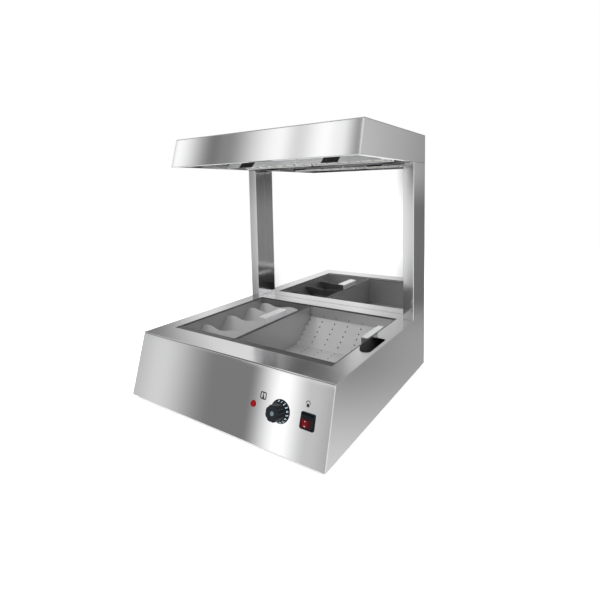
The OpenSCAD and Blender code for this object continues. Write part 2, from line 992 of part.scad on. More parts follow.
// Ceramic holders at the two ends of a lamp
module lamp_holders(side) {
    color("beige")
        at_lamp(side)
            for (way = [-1, 1])
                scale([way, 1, 1])
                    difference() {
                        block([lamp_l / 2 - reflector_t - seam - holder_l, -holder_w / 2, tube_lift / 2 - seam],
                              [lamp_l / 2 - reflector_t - seam, holder_w / 2,
                               min(tube_lift / 2 + holder_h, reflector_h - reflector_t - seam)]);
                        translate([0, 0, tube_lift])
                            rod_x(0, lamp_l / 2 - reflector_t - holder_l / 2 + seam, tube_d + 2 * run_fit);
                    }
}

module left_lamp_holders() {
    lamp_holders(-1);
}

module right_lamp_holders() {
    lamp_holders(1);
}

// Strap over a reflector with a riser up to the canopy's top
module lamp_bracket(side, share) {
    color("dimgray")
        at_lamp(side)
            translate([share * lamp_l, 0, 0]) {
                along_x(-strap_w / 2, strap_w / 2)
                    difference() {
                        trough(seam + strap_t);
                        translate([0, -cut / 100])
                            trough(seam);
                    }
                block([-strap_w / 2, -riser_t / 2, reflector_h + seam + strap_t / 2],
                      [strap_w / 2, riser_t / 2, canopy_h - sheet_t]);
            }
}

module left_lamp_bracket() {
    lamp_bracket(-1, bracket_place_shares[0]);
}

module right_lamp_bracket() {
    lamp_bracket(1, bracket_place_shares[1]);
}

// Wire guard inside a reflector's mouth, its cross wires lying on two rails
guard_rail_z = guard_lift - (wire_d + guard_rail_d) / 2 - weld_gap;
guard_half = mouth_w / 2 - reflector_t - seam
    - (guard_lift + wire_d / 2) * wing_run / (reflector_h - reflector_t);

module lamp_guard(side) {
    guard_run = lamp_l - 2 * reflector_t - 2 * seam;
    color("lightgray")
        at_lamp(side) {
            for (i = [0 : guard_wires - 1])
                translate([((i + 0.5) / guard_wires - 0.5) * guard_run, guard_half, guard_lift])
                    rotate([90, 0, 0])
                        cylinder(h = 2 * guard_half, d = wire_d);
            for (way = [-1, 1])
                translate([0, way * mouth_w * guard_rail_share, guard_rail_z])
                    rod_x(-guard_run / 2, guard_run / 2, guard_rail_d);
        }
}

module left_lamp_guard() {
    lamp_guard(-1);
}

module right_lamp_guard() {
    lamp_guard(1);
}

// Open pan with a flat rim between two places across the opening
module pan(x0, x1) {
    difference() {
        union() {
            translate([0, 0, pan_z])
                linear_extrude(pan_h)
                    round_rect([x0 + lip_side, pan_y0 + lip_front], [x1 - lip_side, pan_y1 - lip_rear], wall_r);
            translate([0, 0, rim_z - pan_t])
                linear_extrude(pan_t)
                    round_rect([x0, pan_y0], [x1, pan_y1], lip_r);
        }
        translate([0, 0, floor_z])
            linear_extrude(pan_h)
                round_rect([x0 + lip_side + pan_t, in_y0], [x1 - lip_side - pan_t, in_y1], wall_r - pan_t);
    }
}

module left_pan() {
    color("silver")
        pan(left_x0, left_x1);
}

module right_pan() {
    color("silver")
        pan(right_x0, right_x1);
}

function wave(u) = wave_h / 2 * cos(360 * (u - wave_peak_share) / wave_length_share);

// Four plates that lean back across the left pan, each with a waved top edge
module divider_plates() {
    color("darkgray")
        for (s = plate_place_shares)
            intersection() {
                translate([0, in_y0 + s * (in_y1 - in_y0) - plate_run, 0])
                    divider_plate();
                translate([0, 0, floor_z])
                    linear_extrude(pan_h)
                        round_rect([left_in0 + seam, in_y0 + seam], [left_in1 - seam, in_y1 - seam],
                                   wall_r - pan_t);
            }
}

// Level width of a leaning plate and its clearance from the pan's walls
plate_rise = plate_top - floor_z;
plate_gap = plate_t * sqrt(1 + (plate_rise / plate_run) ^ 2) / (plate_rise / plate_run);

module divider_plate() {
    x0 = left_in0;
    x1 = left_in1;
    intersection() {
        along_x(x0, x1)
            polygon([
                [0, floor_z],
                [plate_run * (1 + wave_h / plate_rise), plate_top + wave_h],
                [plate_run * (1 + wave_h / plate_rise) - plate_gap, plate_top + wave_h],
                [-plate_gap, floor_z]
            ]);
        translate([0, 2 * plate_run, 0])
            rotate([90, 0, 0])
                linear_extrude(4 * plate_run)
                    polygon(concat(
                        [[x1, floor_z], [x0, floor_z]],
                        [for (i = [0 : wave_points])
                            let (u = i / wave_points)
                            [x0 + u * (x1 - x0), plate_top + wave(u)]]
                    ));
    }
}

// Angle strip that rises and then folds over by its reach
module folded_strip(reach) {
    rise = handle_rise + pan_drop;
    square([handle_t, rise - handle_bend]);
    translate([handle_bend, rise - handle_t])
        square([reach - handle_bend, handle_t]);
    translate([handle_bend, rise - handle_bend])
        intersection() {
            difference() {
                circle(handle_bend);
                circle(handle_bend - handle_t);
            }
            translate([-handle_bend, 0])
                square(handle_bend);
        }
}

// Handle on a pan's right rim; way is 1 where it folds to the right
module handle(x, reach, way) {
    y0 = open_y0 + handle_set - handle_l / 2;
    translate([x, y0, rim_z])
        scale([way, 1, 1])
            intersection() {
                translate([0, handle_l, 0])
                    rotate([90, 0, 0])
                        linear_extrude(handle_l)
                            folded_strip(reach);
                linear_extrude(2 * handle_rise)
                    round_rect([-reach, 0], [reach, handle_l], lip_r);
            }
}

module left_handle() {
    color("gainsboro")
        handle(left_x1, left_reach, -1);
}

module right_handle() {
    color("gainsboro")
        handle(right_x1 - handle_t, right_reach, 1);
}

// Bent perforated sheet that stands in the right pan
insert_x0 = right_in0 + insert_gap;
insert_x1 = right_in1 - insert_gap;
insert_y0 = in_y0 + insert_gap;
insert_y1 = in_y1 - insert_gap;
insert_z = floor_z + insert_lift;
insert_leg_z = floor_z + seat_gap;
bend_z = rim_z - bend_drop;
slope_y = insert_y1 - insert_t - slope_run;
slope_l = sqrt(slope_run ^ 2 + (bend_z - insert_z) ^ 2);
slope_angle = atan((bend_z - insert_z) / slope_run);
insert_top_drop = 3;
wall_row_lift = 6;
slope_first_row = 13.8;
floor_first_row = 8;
slope_rows = floor((slope_l - slope_first_row) / hole_pitch_y);
floor_rows = floor((slope_y - floor_first_row - insert_y0) / hole_pitch_y);
hole_cols = floor((insert_x1 - insert_x0 - 2 * hole_edge) / hole_pitch_x);
half_bend = (90 - slope_angle) / 2;

module perforated_insert() {
    color("lightgray") {
        difference() {
            along_x(insert_x0, insert_x1)
                polygon([
                    [insert_y1, rim_z - insert_top_drop],
                    [insert_y1 - insert_t, rim_z - insert_top_drop],
                    [insert_y1 - insert_t, bend_z],
                    [slope_y, insert_z],
                    [insert_y0, insert_z],
                    [insert_y0, insert_leg_z],
                    [insert_y0 + insert_t, insert_leg_z],
                    [insert_y0 + insert_t, insert_z - insert_t],
                    [slope_y + insert_t * tan(slope_angle / 2), insert_z - insert_t],
                    [insert_y1, bend_z - insert_t * tan(half_bend)]
                ]);
            for (c = [0 : hole_cols])
                translate([insert_x0 + hole_edge + c * hole_pitch_x, 0, 0])
                    hole_column();
        }
        for (x0 = [insert_x0, insert_x1 - insert_t])
            block([x0, insert_y0, insert_leg_z], [x0 + insert_t, slope_y, insert_z - insert_t / 2]);
    }
}

// Cutters for one column of holes down the wall, the slope and the floor
module hole_column() {
    translate([0, insert_y1 + cut, bend_z + wall_row_lift])
        rotate([90, 0, 0])
            cylinder(h = insert_t + 2 * cut, d = hole_d, $fn = 20);
    for (k = [0 : slope_rows])
        translate([0, insert_y1 - insert_t, bend_z])
            rotate([slope_angle, 0, 0])
                translate([0, -slope_first_row - k * hole_pitch_y, 0])
                    cylinder(h = 4 * insert_t, d = hole_d, center = true, $fn = 20);
    for (k = [0 : floor_rows])
        translate([0, slope_y - floor_first_row - k * hole_pitch_y, insert_z])
            cylinder(h = 4 * insert_t, d = hole_d, center = true, $fn = 20);
}

front_panel();
left_side_panel();
right_side_panel();
rear_panel();
bottom_plate();
feet();
deck();
well_liner();
pan_rails();
well_heater();
heater_clips();
insulation_slab();
thermostat_body();
thermostat_probe();
pilot_lamp_holder();
pilot_lens();
switch_housing();
terminal_block();
cable_gland();
rear_panel_screws();
left_post();
right_post();
back_panel();
canopy_front();
canopy_left_side();
canopy_right_side();
canopy_rear();
canopy_top();
left_reflector();
right_reflector();
left_lamp_tube();
right_lamp_tube();
left_lamp_holders();
right_lamp_holders();
left_lamp_bracket();
right_lamp_bracket();
left_lamp_guard();
right_lamp_guard();
left_pan();
divider_plates();
left_handle();
right_pan();
right_handle();
perforated_insert();
knob_grip();
knob_dial();
knob_cap();
thermostat_shaft();
switch_rocker();
rocker_lens();
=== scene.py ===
"""Dresses a countertop chip warmer: sheet edges, metal finishes, printed marks, studio and camera."""
import json
import math

import bmesh
import bpy
from bpy.props import FloatProperty, FloatVectorProperty, IntProperty, PointerProperty
from mathutils import Matrix, Vector
from mathutils.bvhtree import BVHTree


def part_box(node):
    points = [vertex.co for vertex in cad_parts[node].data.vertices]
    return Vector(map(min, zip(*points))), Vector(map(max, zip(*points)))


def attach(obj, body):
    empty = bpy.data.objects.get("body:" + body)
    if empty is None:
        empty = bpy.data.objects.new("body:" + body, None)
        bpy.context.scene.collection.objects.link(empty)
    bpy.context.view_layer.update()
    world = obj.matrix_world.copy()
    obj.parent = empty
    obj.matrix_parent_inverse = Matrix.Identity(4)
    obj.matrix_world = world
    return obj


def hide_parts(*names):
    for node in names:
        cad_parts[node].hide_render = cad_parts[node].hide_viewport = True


bl_info = {
    "name": "Chip warmer",
    "version": (1, 0, 0),
    "blender": (4, 5, 0),
    "location": "3D View > Sidebar > Warmer",
    "description": "Finishes, marks, studio and camera of a countertop chip warmer",
    "category": "Add Mesh",
}

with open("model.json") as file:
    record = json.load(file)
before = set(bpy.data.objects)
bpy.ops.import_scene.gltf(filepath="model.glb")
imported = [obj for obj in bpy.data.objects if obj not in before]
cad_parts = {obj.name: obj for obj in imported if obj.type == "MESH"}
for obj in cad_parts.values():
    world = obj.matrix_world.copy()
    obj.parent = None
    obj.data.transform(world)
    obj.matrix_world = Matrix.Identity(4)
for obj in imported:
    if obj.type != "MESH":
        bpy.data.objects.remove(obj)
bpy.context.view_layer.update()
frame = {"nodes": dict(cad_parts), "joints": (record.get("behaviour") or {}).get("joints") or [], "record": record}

MM = 0.001

# Distance below which points are one, angle up to which faces lie flat with each other, and angles past
# which an edge is rounded and past which it stays a crease
MERGE = 0.002 * MM
FLAT = math.radians(0.4)
SHARP = math.radians(28)
CREASE = math.radians(50)

# A face whose normal points further forward than this along Y faces the front
FORWARD = -0.9

# How much rounder than the sheets' edges the deck's and the posts' are, and the handles' than thin pieces'
DECK_EDGE = 1.4
POST_EDGE = 3
HANDLE_EDGE = 1.5

# Largest face that belongs to a punched hole, and the shortest edge of the switch that is rounded
HOLE_FACE = 1.2 * MM * MM
SWITCH_EDGE = 2 * MM

# Depths below the pans' rims where their painted shade starts and is full
RIM_SHADE_START = 2.2 * MM
RIM_SHADE_FULL = 1.4 * MM

# Height of a figure as a share of its font's size, and the steps from the dial's 0 to its top at rest
FIGURE_SHARE = 0.7
ZERO_STEPS = 0.5

# How far in front of the panel or the switch, and of the dial, a mark's ray starts
PROBE = 20 * MM
DIAL_PROBE = 60 * MM

# Where the printed signs stand, to the right of and above the knob's and the switch's middle
THERMOMETER_PLACE = (-47.5 * MM, 18.9 * MM)
LAMP_PLACE = (-4.8 * MM, 31.5 * MM)

BODY_OF = {node: body for body, nodes in frame["record"]["behaviour"]["bodies"].items() for node in nodes}
JOINTS = {joint["name"]: joint for joint in frame["joints"]}


def linear(code):
    """Linear colour of an sRGB hex value."""
    parts = [int(code[i:i + 2], 16) / 255 for i in (1, 3, 5)]
    return tuple(c / 12.92 if c <= 0.04045 else ((c + 0.055) / 1.055) ** 2.4 for c in parts)


class WarmerSizes(bpy.types.PropertyGroup):
    """Sizes that finish the warmer's pieces."""

    sheet_edge: FloatProperty(
        name="Sheet edge", description="Radius of the sheets' edges and folds",
        default=0.7 * MM, min=0.1 * MM, max=1.5 * MM, unit="LENGTH", precision=5)
    fold_corner: FloatProperty(
        name="Fold corner", description="Radius of the front sheets' upright outer corners",
        default=1.4 * MM, min=0.2 * MM, max=1.5 * MM, unit="LENGTH", precision=5)
    thin_edge: FloatProperty(
        name="Thin edge", description="Radius of the edges of thin sheets and small pieces",
        default=0.3 * MM, min=0.05 * MM, max=0.6 * MM, unit="LENGTH", precision=5)
    moulded_edge: FloatProperty(
        name="Moulded edge", description="Radius of the edges of the plastic pieces",
        default=0.6 * MM, min=0.1 * MM, max=1.0 * MM, unit="LENGTH", precision=5)
    brush_pitch: FloatProperty(
        name="Brush pitch", description="Spacing of the brushed lines",
        default=1.6 * MM, min=0.1 * MM, max=4 * MM, unit="LENGTH", precision=5)
    brush_length: FloatProperty(
        name="Brush length", description="Length of the brushed lines",
        default=220 * MM, min=10 * MM, max=500 * MM, unit="LENGTH")
    number_height: FloatProperty(
        name="Number height", description="Height of the numbers on the dial",
        default=5.2 * MM, min=2 * MM, max=6 * MM, unit="LENGTH", precision=4)
    number_radius: FloatProperty(
        name="Number radius", description="Distance of the numbers from the dial's middle",
        default=20 * MM, min=17 * MM, max=22 * MM, unit="LENGTH", precision=4)
    number_step: FloatProperty(
        name="Number step", description="Angle between two numbers on the dial",
        default=math.radians(21.5), min=math.radians(15), max=math.radians(60), subtype="ANGLE")
    number_count: IntProperty(
        name="Numbers", description="How many numbers the dial has", default=13, min=2, max=16)
    ink: FloatProperty(
        name="Ink", description="Thickness of the printed marks",
        default=0.08 * MM, min=0.02 * MM, max=0.2 * MM, unit="LENGTH", precision=5)


class WarmerColours(bpy.types.PropertyGroup):
    """Colours of the warmer's finishes."""

    steel: FloatVectorProperty(
        name="Brushed steel", description="Casing, deck, posts and canopy", subtype="COLOR",
        default=linear("#d2d2d3"), min=0, max=1)
    pan_steel: FloatVectorProperty(
        name="Pan steel", description="Lift-out pans and their dividers", subtype="COLOR",
        default=linear("#a2a2a2"), min=0, max=1)
    # Painted shade on the pans' rims: the grey that their top flanges are drawn in
    pan_rim: FloatVectorProperty(
        name="Pan rim", description="Dulled rims of the pans", subtype="COLOR",
        default=linear("#4c4c4c"), min=0, max=1)
    mirror: FloatVectorProperty(
        name="Mirror", description="Polished back panel", subtype="COLOR",
        default=linear("#f4f4f4"), min=0, max=1)
    reflector: FloatVectorProperty(
        name="Reflector", description="Anodised aluminium of the lamp reflectors", subtype="COLOR",
        default=linear("#eceded"), min=0, max=1)
    dark_plastic: FloatVectorProperty(
        name="Dark plastic", description="Knob and switch", subtype="COLOR",
        default=linear("#10161a"), min=0, max=1)
    red: FloatVectorProperty(
        name="Red", description="Pilot lens", subtype="COLOR",
        default=linear("#80040a"), min=0, max=1)
    pale_ink: FloatVectorProperty(
        name="Pale ink", description="Numbers on the dial and marks on the switch", subtype="COLOR",
        default=linear("#d3e6ee"), min=0, max=1)
    dark_ink: FloatVectorProperty(
        name="Dark ink", description="Marks printed on the front panel", subtype="COLOR",
        default=linear("#0a0a0a"), min=0, max=1)
    floor: FloatVectorProperty(
        name="Floor", description="Studio floor", subtype="COLOR",
        default=linear("#f3f3f3"), min=0, max=1)


def sizes():
    """The sizes that a user can change."""
    return bpy.context.scene.warmer_sizes


def colours():
    """The colours that a user can change."""
    return bpy.context.scene.warmer_colours


# Nodes and materials
def add_node(tree, kind, inputs=None, **settings):
    """Adds a node, sets it up and links or sets its inputs."""
    node = tree.nodes.new(kind)
    for key, value in settings.items():
        setattr(node, key, value)
    for key, value in (inputs or {}).items():
        if isinstance(value, bpy.types.NodeSocket):
            tree.links.new(value, node.inputs[key])
        else:
            node.inputs[key].default_value = value
    return node


def new_material(name, colour, **sockets):
    """A Principled material; sockets are its inputs by name with _ for spaces."""
    material = bpy.data.materials.new(name)
    material.use_nodes = True
    shader = material.node_tree.nodes["Principled BSDF"]
    shader.inputs["Base Color"].default_value = (*colour, 1)
    for key, value in sockets.items():
        shader.inputs[key.replace("_", " ")].default_value = value
    return material, material.node_tree, shader


def link_detail(tree, shader, pattern, roughness, bump, tint=0.0, colour=None):
    """Lets a pattern from 0 to 1 vary a shader's roughness, relief and tone."""
    low, high = roughness
    spread = add_node(tree, "ShaderNodeMapRange", {"Value": pattern, "To Min": low, "To Max": high})
    tree.links.new(spread.outputs["Result"], shader.inputs["Roughness"])
    relief = add_node(tree, "ShaderNodeBump", {"Height": pattern, "Strength": 1.0, "Distance": bump})
    tree.links.new(relief.outputs["Normal"], shader.inputs["Normal"])
    if tint:
        darker = tuple(c * (1 - tint) for c in colour)
        tone = add_node(tree, "ShaderNodeMixRGB", {
            "Fac": pattern, "Color1": (*darker, 1), "Color2": (*colour, 1)})
        tree.links.new(tone.outputs["Color"], shader.inputs["Base Color"])


def object_noise(tree, scale, detail):
    """Noise on Object coordinates that are stretched by scale, in waves per metre."""
    place = add_node(tree, "ShaderNodeTexCoord")
    stretch = add_node(tree, "ShaderNodeMapping", {"Vector": place.outputs["Object"], "Scale": scale})
    noise = add_node(tree, "ShaderNodeTexNoise", {
        "Vector": stretch.outputs["Vector"], "Scale": 1.0, "Detail": detail})
    return noise.outputs["Fac"]


def brushed_steel(name, colour, roughness, axis, stretch=0.85):
    """Stainless sheet with a satin belt finish: fine lines along one axis, which draw reflections out
    across them. Real lines are about 0.1 mm apart; they are drawn coarser, so that they show."""
    material, tree, shader = new_material(name, colour, Metallic=1.0, Anisotropic=stretch)
    across = 1 / sizes().brush_pitch
    scale = [across] * 3
    scale["XYZ".index(axis)] = 1 / sizes().brush_length
    lines = object_noise(tree, scale, detail=3)
    link_detail(tree, shader, lines, (roughness - 0.008, roughness + 0.008), 0.0003 * MM, 0.03, colour)
    along = [float(letter == axis) for letter in "XYZ"]
    surface_side = add_node(tree, "ShaderNodeNewGeometry")
    across_lines = add_node(tree, "ShaderNodeVectorMath", {0: surface_side.outputs["Normal"], 1: along},
                            operation="CROSS_PRODUCT")
    tree.links.new(across_lines.outputs["Vector"], shader.inputs["Tangent"])
    return material


def satin_steel(name, colour, roughness, metallic):
    """Cold-rolled stainless sheet: an even satin with faint clouding and no lines. Where it is blasted or
    worn matt it is less metallic, so that it scatters light as well as mirroring it."""
    material, tree, shader = new_material(name, colour, Metallic=metallic)
    clouds = object_noise(tree, (1 / (12 * MM),) * 3, detail=2)
    link_detail(tree, shader, clouds, (roughness - 0.02, roughness + 0.02), 0.001 * MM, 0.03, colour)
    return material


def pan_steel():
    """Satin stainless of the pans, with painted shade on the rims: their top millimetres are drawn darker."""
    colour = tuple(colours().pan_steel)
    material = satin_steel("satin_pan_steel", colour, 0.36, 0.85)
    tree = material.node_tree
    shader = tree.nodes["Principled BSDF"]
    tone = shader.inputs["Base Color"].links[0].from_socket
    place = add_node(tree, "ShaderNodeTexCoord")
    split = add_node(tree, "ShaderNodeSeparateXYZ", {"Vector": place.outputs["Object"]})
    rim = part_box("right_pan")[1][2]
    # Painted shade: the pans turn darker towards the tops of their rims
    near = add_node(tree, "ShaderNodeMapRange", {
        "Value": split.outputs["Z"], "From Min": rim - RIM_SHADE_START, "From Max": rim - RIM_SHADE_FULL})
    rim_shade = add_node(tree, "ShaderNodeMixRGB", {
        "Fac": near.outputs["Result"], "Color1": tone, "Color2": (*tuple(colours().pan_rim), 1)})
    tree.links.new(rim_shade.outputs["Color"], shader.inputs["Base Color"])
    return material


def mirror_steel():
    """Mirror-polished stainless sheet: sharp reflections with the slight waviness of thin sheet."""
    colour = tuple(colours().mirror)
    material, tree, shader = new_material("mirror_polished_steel", colour, Metallic=1.0)
    waves = object_noise(tree, (1 / (160 * MM),) * 3, detail=1)
    link_detail(tree, shader, waves, (0.015, 0.03), 0.04 * MM)
    return material


def bright_aluminium():
    """Anodised aluminium sheet: pale, half matt and half mirroring, slightly streaky along the rolling
    direction."""
    colour = tuple(colours().reflector)
    material, tree, shader = new_material("anodised_aluminium", colour, Metallic=0.35)
    streaks = object_noise(tree, (1 / (90 * MM), 1 / (2 * MM), 1 / (2 * MM)), detail=2)
    link_detail(tree, shader, streaks, (0.24, 0.32), 0.002 * MM, 0.03, colour)
    return material


def plated_wire():
    """Nickel-plated wire: bright, with the soft unevenness of a plated draw finish."""
    colour = linear("#c9c8c4")
    material, tree, shader = new_material("nickel_plated_wire", colour, Metallic=1.0)
    ripples = object_noise(tree, (1 / (3 * MM),) * 3, detail=3)
    link_detail(tree, shader, ripples, (0.18, 0.3), 0.01 * MM, 0.06, colour)
    return material


def moulded_plastic(name, colour, roughness):
    """Moulded thermoset or ABS: an even spark-eroded grain and a soft highlight. The real grain is about
    0.1 mm; it is drawn at 0.5 mm, so that it shows."""
    material, tree, shader = new_material(name, colour, IOR=1.52, Specular_IOR_Level=0.1)
    pits = object_noise(tree, (1 / (0.5 * MM),) * 3, detail=3)
    link_detail(tree, shader, pits, (roughness - 0.06, roughness + 0.06), 0.012 * MM, 0.12, colour)
    return material


def clear_red(name, colour, roughness, glow):
    """Dyed red polycarbonate, moulded: a deep colour that lets little light through, with a faint gloss."""
    material, tree, shader = new_material(
        name, colour, IOR=1.45, Specular_IOR_Level=0.1, Transmission_Weight=0.1, Coat_Weight=0.02,
        Coat_Roughness=0.08, Emission_Color=(*colour, 1), Emission_Strength=glow)
    haze = object_noise(tree, (1 / (1.2 * MM),) * 3, detail=2)
    link_detail(tree, shader, haze, (roughness - 0.03, roughness + 0.05), 0.004 * MM, 0.15, colour)
    return material


def frosted_quartz():
    """Frosted quartz tube: milky glass that passes light and keeps a soft sheen."""
    colour = linear("#f1eee6")
    material, tree, shader = new_material("frosted_quartz", colour, IOR=1.46, Transmission_Weight=0.35)
    frost = object_noise(tree, (1 / (0.8 * MM),) * 3, detail=4)
    link_detail(tree, shader, frost, (0.35, 0.5), 0.01 * MM, 0.04, colour)
    return material


def glazed_ceramic():
    """Steatite ceramic: off-white body under a thin uneven glaze."""
    colour = linear("#dcd5c6")
    material, tree, shader = new_material(
        "glazed_steatite", colour, IOR=1.6, Coat_Weight=0.4, Coat_Roughness=0.12)
    specks = object_noise(tree, (1 / (2.5 * MM),) * 3, detail=5)
    link_detail(tree, shader, specks, (0.3, 0.45), 0.03 * MM, 0.1, colour)
    return material


def oxidised_sheath():
    """Heating element sheath: nickel alloy dulled to a dark uneven oxide."""
    colour = linear("#4b4a4c")
    material, tree, shader = new_material("oxidised_element_sheath", colour, Metallic=0.7)
    scale = object_noise(tree, (1 / (6 * MM),) * 3, detail=6)
    link_detail(tree, shader, scale, (0.45, 0.65), 0.03 * MM, 0.35, colour)
    return material


def mineral_wool():
    """Mineral wool slab: matt yellow-brown fibre."""
    colour = linear("#b9a468")
    material, tree, shader = new_material("mineral_wool", colour)
    fibres = object_noise(tree, (1 / (9 * MM), 1 / (1.5 * MM), 1 / (1.5 * MM)), detail=7)
    link_detail(tree, shader, fibres, (0.85, 1.0), 0.4 * MM, 0.4, colour)
    return material


def drawn_copper():
    """Drawn copper tube: warm metal with a faint tarnish."""
    colour = linear("#c98a63")
    material, tree, shader = new_material("drawn_copper", colour, Metallic=1.0)
    tarnish = object_noise(tree, (1 / (8 * MM),) * 3, detail=5)
    link_detail(tree, shader, tarnish, (0.25, 0.4), 0.008 * MM, 0.25, colour)
    return material


def soft_rubber():
    """Moulded rubber: matt black with a fine dusty texture."""
    colour = linear("#232323")
    material, tree, shader = new_material("moulded_rubber", colour)
    dust = object_noise(tree, (1 / (0.7 * MM),) * 3, detail=4)
    link_detail(tree, shader, dust, (0.7, 0.9), 0.03 * MM, 0.3, colour)
    return material


def printed_ink(name, colour):
    """Screen-printed ink: flat tone, slightly rough, with a faintly uneven film."""
    material, tree, shader = new_material(name, colour, IOR=1.5)
    film = object_noise(tree, (1 / (0.6 * MM),) * 3, detail=2)
    link_detail(tree, shader, film, (0.42, 0.58), 0.004 * MM, 0.1, colour)
    return material


# Finishes by key. Of the satin steels, the insert's is bright with wide soft highlights, the pans' and the
# dividers' are greyer from washing, the handles' is smoother from handling, the inner sheets' is pale and
# dull as rolled, the brackets' is dark from heat, and the holes' is nearly black: painted shade, so that
# the holes read dark
MAKERS = {
    "steel_x": lambda: brushed_steel("brushed_steel_across", tuple(colours().steel), 0.14, "X"),
    "steel_y": lambda: brushed_steel("brushed_steel_deep", tuple(colours().steel), 0.16, "Y"),
    "steel_z": lambda: brushed_steel("brushed_steel_upright", tuple(colours().steel), 0.13, "Z", 0.3),
    "pan": pan_steel,
    "insert": lambda: satin_steel("satin_insert_steel", tuple(colours().steel), 0.36, 0.9),
    "divider": lambda: satin_steel("satin_divider_steel", tuple(colours().pan_steel), 0.34, 0.8),
    "handle": lambda: satin_steel("satin_handle_steel", tuple(colours().steel), 0.32, 0.8),
    # Painted shade for the insert's holes, so that they read dark
    "hole": lambda: satin_steel("hole_shade_steel", linear("#161514"), 0.45, 0.3),
    "inner": lambda: satin_steel("mill_finish_steel", linear("#a9a9a8"), 0.38, 0.6),
    "bracket": lambda: satin_steel("heat_darkened_steel", linear("#3c3b3b"), 0.42, 0.7),
    "mirror": mirror_steel,
    "reflector": bright_aluminium,
    "wire": plated_wire,
    "knob": lambda: moulded_plastic("black_phenolic", tuple(colours().dark_plastic), 0.36),
    "switch": lambda: moulded_plastic("black_polyamide", tuple(colours().dark_plastic), 0.28),
    "nylon": lambda: moulded_plastic("black_nylon", linear("#1b1b1b"), 0.45),
    "cap": lambda: moulded_plastic("pale_cap_plastic", linear("#5f6c74"), 0.3),
    "lens": lambda: clear_red("red_lens_polycarbonate", tuple(colours().red), 0.12, 0.05),
    "window": lambda: clear_red("red_window_polycarbonate", linear("#35060a"), 0.16, 0.0),
    "lit": lambda: clear_red("lit_red_window", linear("#5e0006"), 0.3, 0.1),
    "quartz": frosted_quartz,
    "ceramic": glazed_ceramic,
    "sheath": oxidised_sheath,
    "wool": mineral_wool,
    "copper": drawn_copper,
    "rubber": soft_rubber,
    "dark_ink": lambda: printed_ink("black_ink", tuple(colours().dark_ink)),
    "pale_ink": lambda: printed_ink("pale_ink", tuple(colours().pale_ink)),
}
made = {}


def material_of(key):
    """The material for a key of MAKERS, made once."""
    if key not in made:
        made[key] = MAKERS[key]()
    return made[key]


# Pieces made from the frame's own solids
def finish(key, *nodes):
    """Gives CAD nodes a finish as they are."""
    for node in nodes:
        mesh = frame["nodes"][node].data
        mesh.materials.clear()
        mesh.materials.append(material_of(key))


def keep_piece(mesh, key, body):
    """Makes a mesh a piece that rides on a body."""
    piece = bpy.data.objects.new(mesh.name, mesh)
    bpy.context.scene.collection.objects.link(piece)
    mesh.materials.clear()
    mesh.materials.append(material_of(key))
    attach(piece, body)
    return piece


def front_corners(shape):
    """Outer upright edges where a front sheet turns to its ends."""
    reach = max(abs(v.co.x) for v in shape.verts)
    return [e for e in shape.edges if e.is_manifold and all(abs(v.co.x) > reach - MERGE for v in e.verts)
            and min(f.normal.y for f in e.link_faces) < FORWARD]


def soften(key, radius, *nodes, shortest=0.0, corner=0.0):
    """Replaces CAD nodes with copies whose sharp edges are rounded, so that they catch the light."""
    pieces = []
    for node in nodes:
        mesh = bpy.data.meshes.new(f"{node}_edged")
        shape = bmesh.new()
        shape.from_mesh(frame["nodes"][node].data)
        for layer in list(shape.loops.layers.float_vector.values()):
            shape.loops.layers.float_vector.remove(layer)
        bmesh.ops.remove_doubles(shape, verts=shape.verts, dist=MERGE)
        bmesh.ops.dissolve_limit(shape, angle_limit=FLAT, verts=shape.verts, edges=shape.edges)
        if corner:
            bmesh.ops.bevel(shape, geom=front_corners(shape), offset=corner, offset_type="OFFSET",
                            segments=4, profile=0.5, affect="EDGES", clamp_overlap=True, material=-1)
        edges = [e for e in shape.edges if e.is_manifold and e.calc_face_angle() > SHARP
                 and e.calc_length() > shortest]
        bmesh.ops.bevel(shape, geom=edges, offset=radius, offset_type="OFFSET", segments=2, profile=0.5,
                        affect="EDGES", clamp_overlap=True, material=-1)
        for face in shape.faces:
            face.smooth = True
        for edge in shape.edges:
            edge.smooth = not (edge.is_manifold and edge.calc_face_angle() > CREASE)
        shape.to_mesh(mesh)
        shape.free()
        piece = keep_piece(mesh, key, BODY_OF[node])
        piece.modifiers.new("even normals", "WEIGHTED_NORMAL").keep_sharp = True
        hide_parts(node)
        pieces.append(piece)
    return pieces


def darken_holes(piece):
    """Paints shade into a punched sheet's holes: the small faces round them turn near black."""
    piece.data.materials.append(material_of("hole"))
    for face in piece.data.polygons:
        if face.area < HOLE_FACE:
            face.material_index = 1


def leave_unmirrored(*pieces):
    """Keeps small pieces out of the sheets' reflections, which then stay calm round them."""
    for piece in pieces:
        piece.visible_glossy = False


# Printed marks
def surface(node, origin, direction):
    """Where a ray first meets a CAD node, and that place's outward normal."""
    mesh = frame["nodes"][node].data
    tree = BVHTree.FromPolygons([v.co for v in mesh.vertices], [p.vertices for p in mesh.polygons])
    place, normal, _, _ = tree.ray_cast(origin, direction)
    if place is None:
        raise RuntimeError(f"no surface of {node} where a mark should go")
    return place, (normal if normal.dot(direction) < 0 else -normal)


def panel_axes():
    """The front panel's outward normal and its upward direction."""
    inward = Vector(JOINTS["knob_turn"]["axis"])
    return -inward, Vector((1, 0, 0)).cross(inward)


def standing(place, normal, up):
    """Matrix that lays a flat mark on a surface with its top towards up."""
    side = up.cross(normal).normalized()
    top = normal.cross(side).normalized()
    return Matrix.Translation(place) @ Matrix((side, top, normal)).transposed().to_4x4()


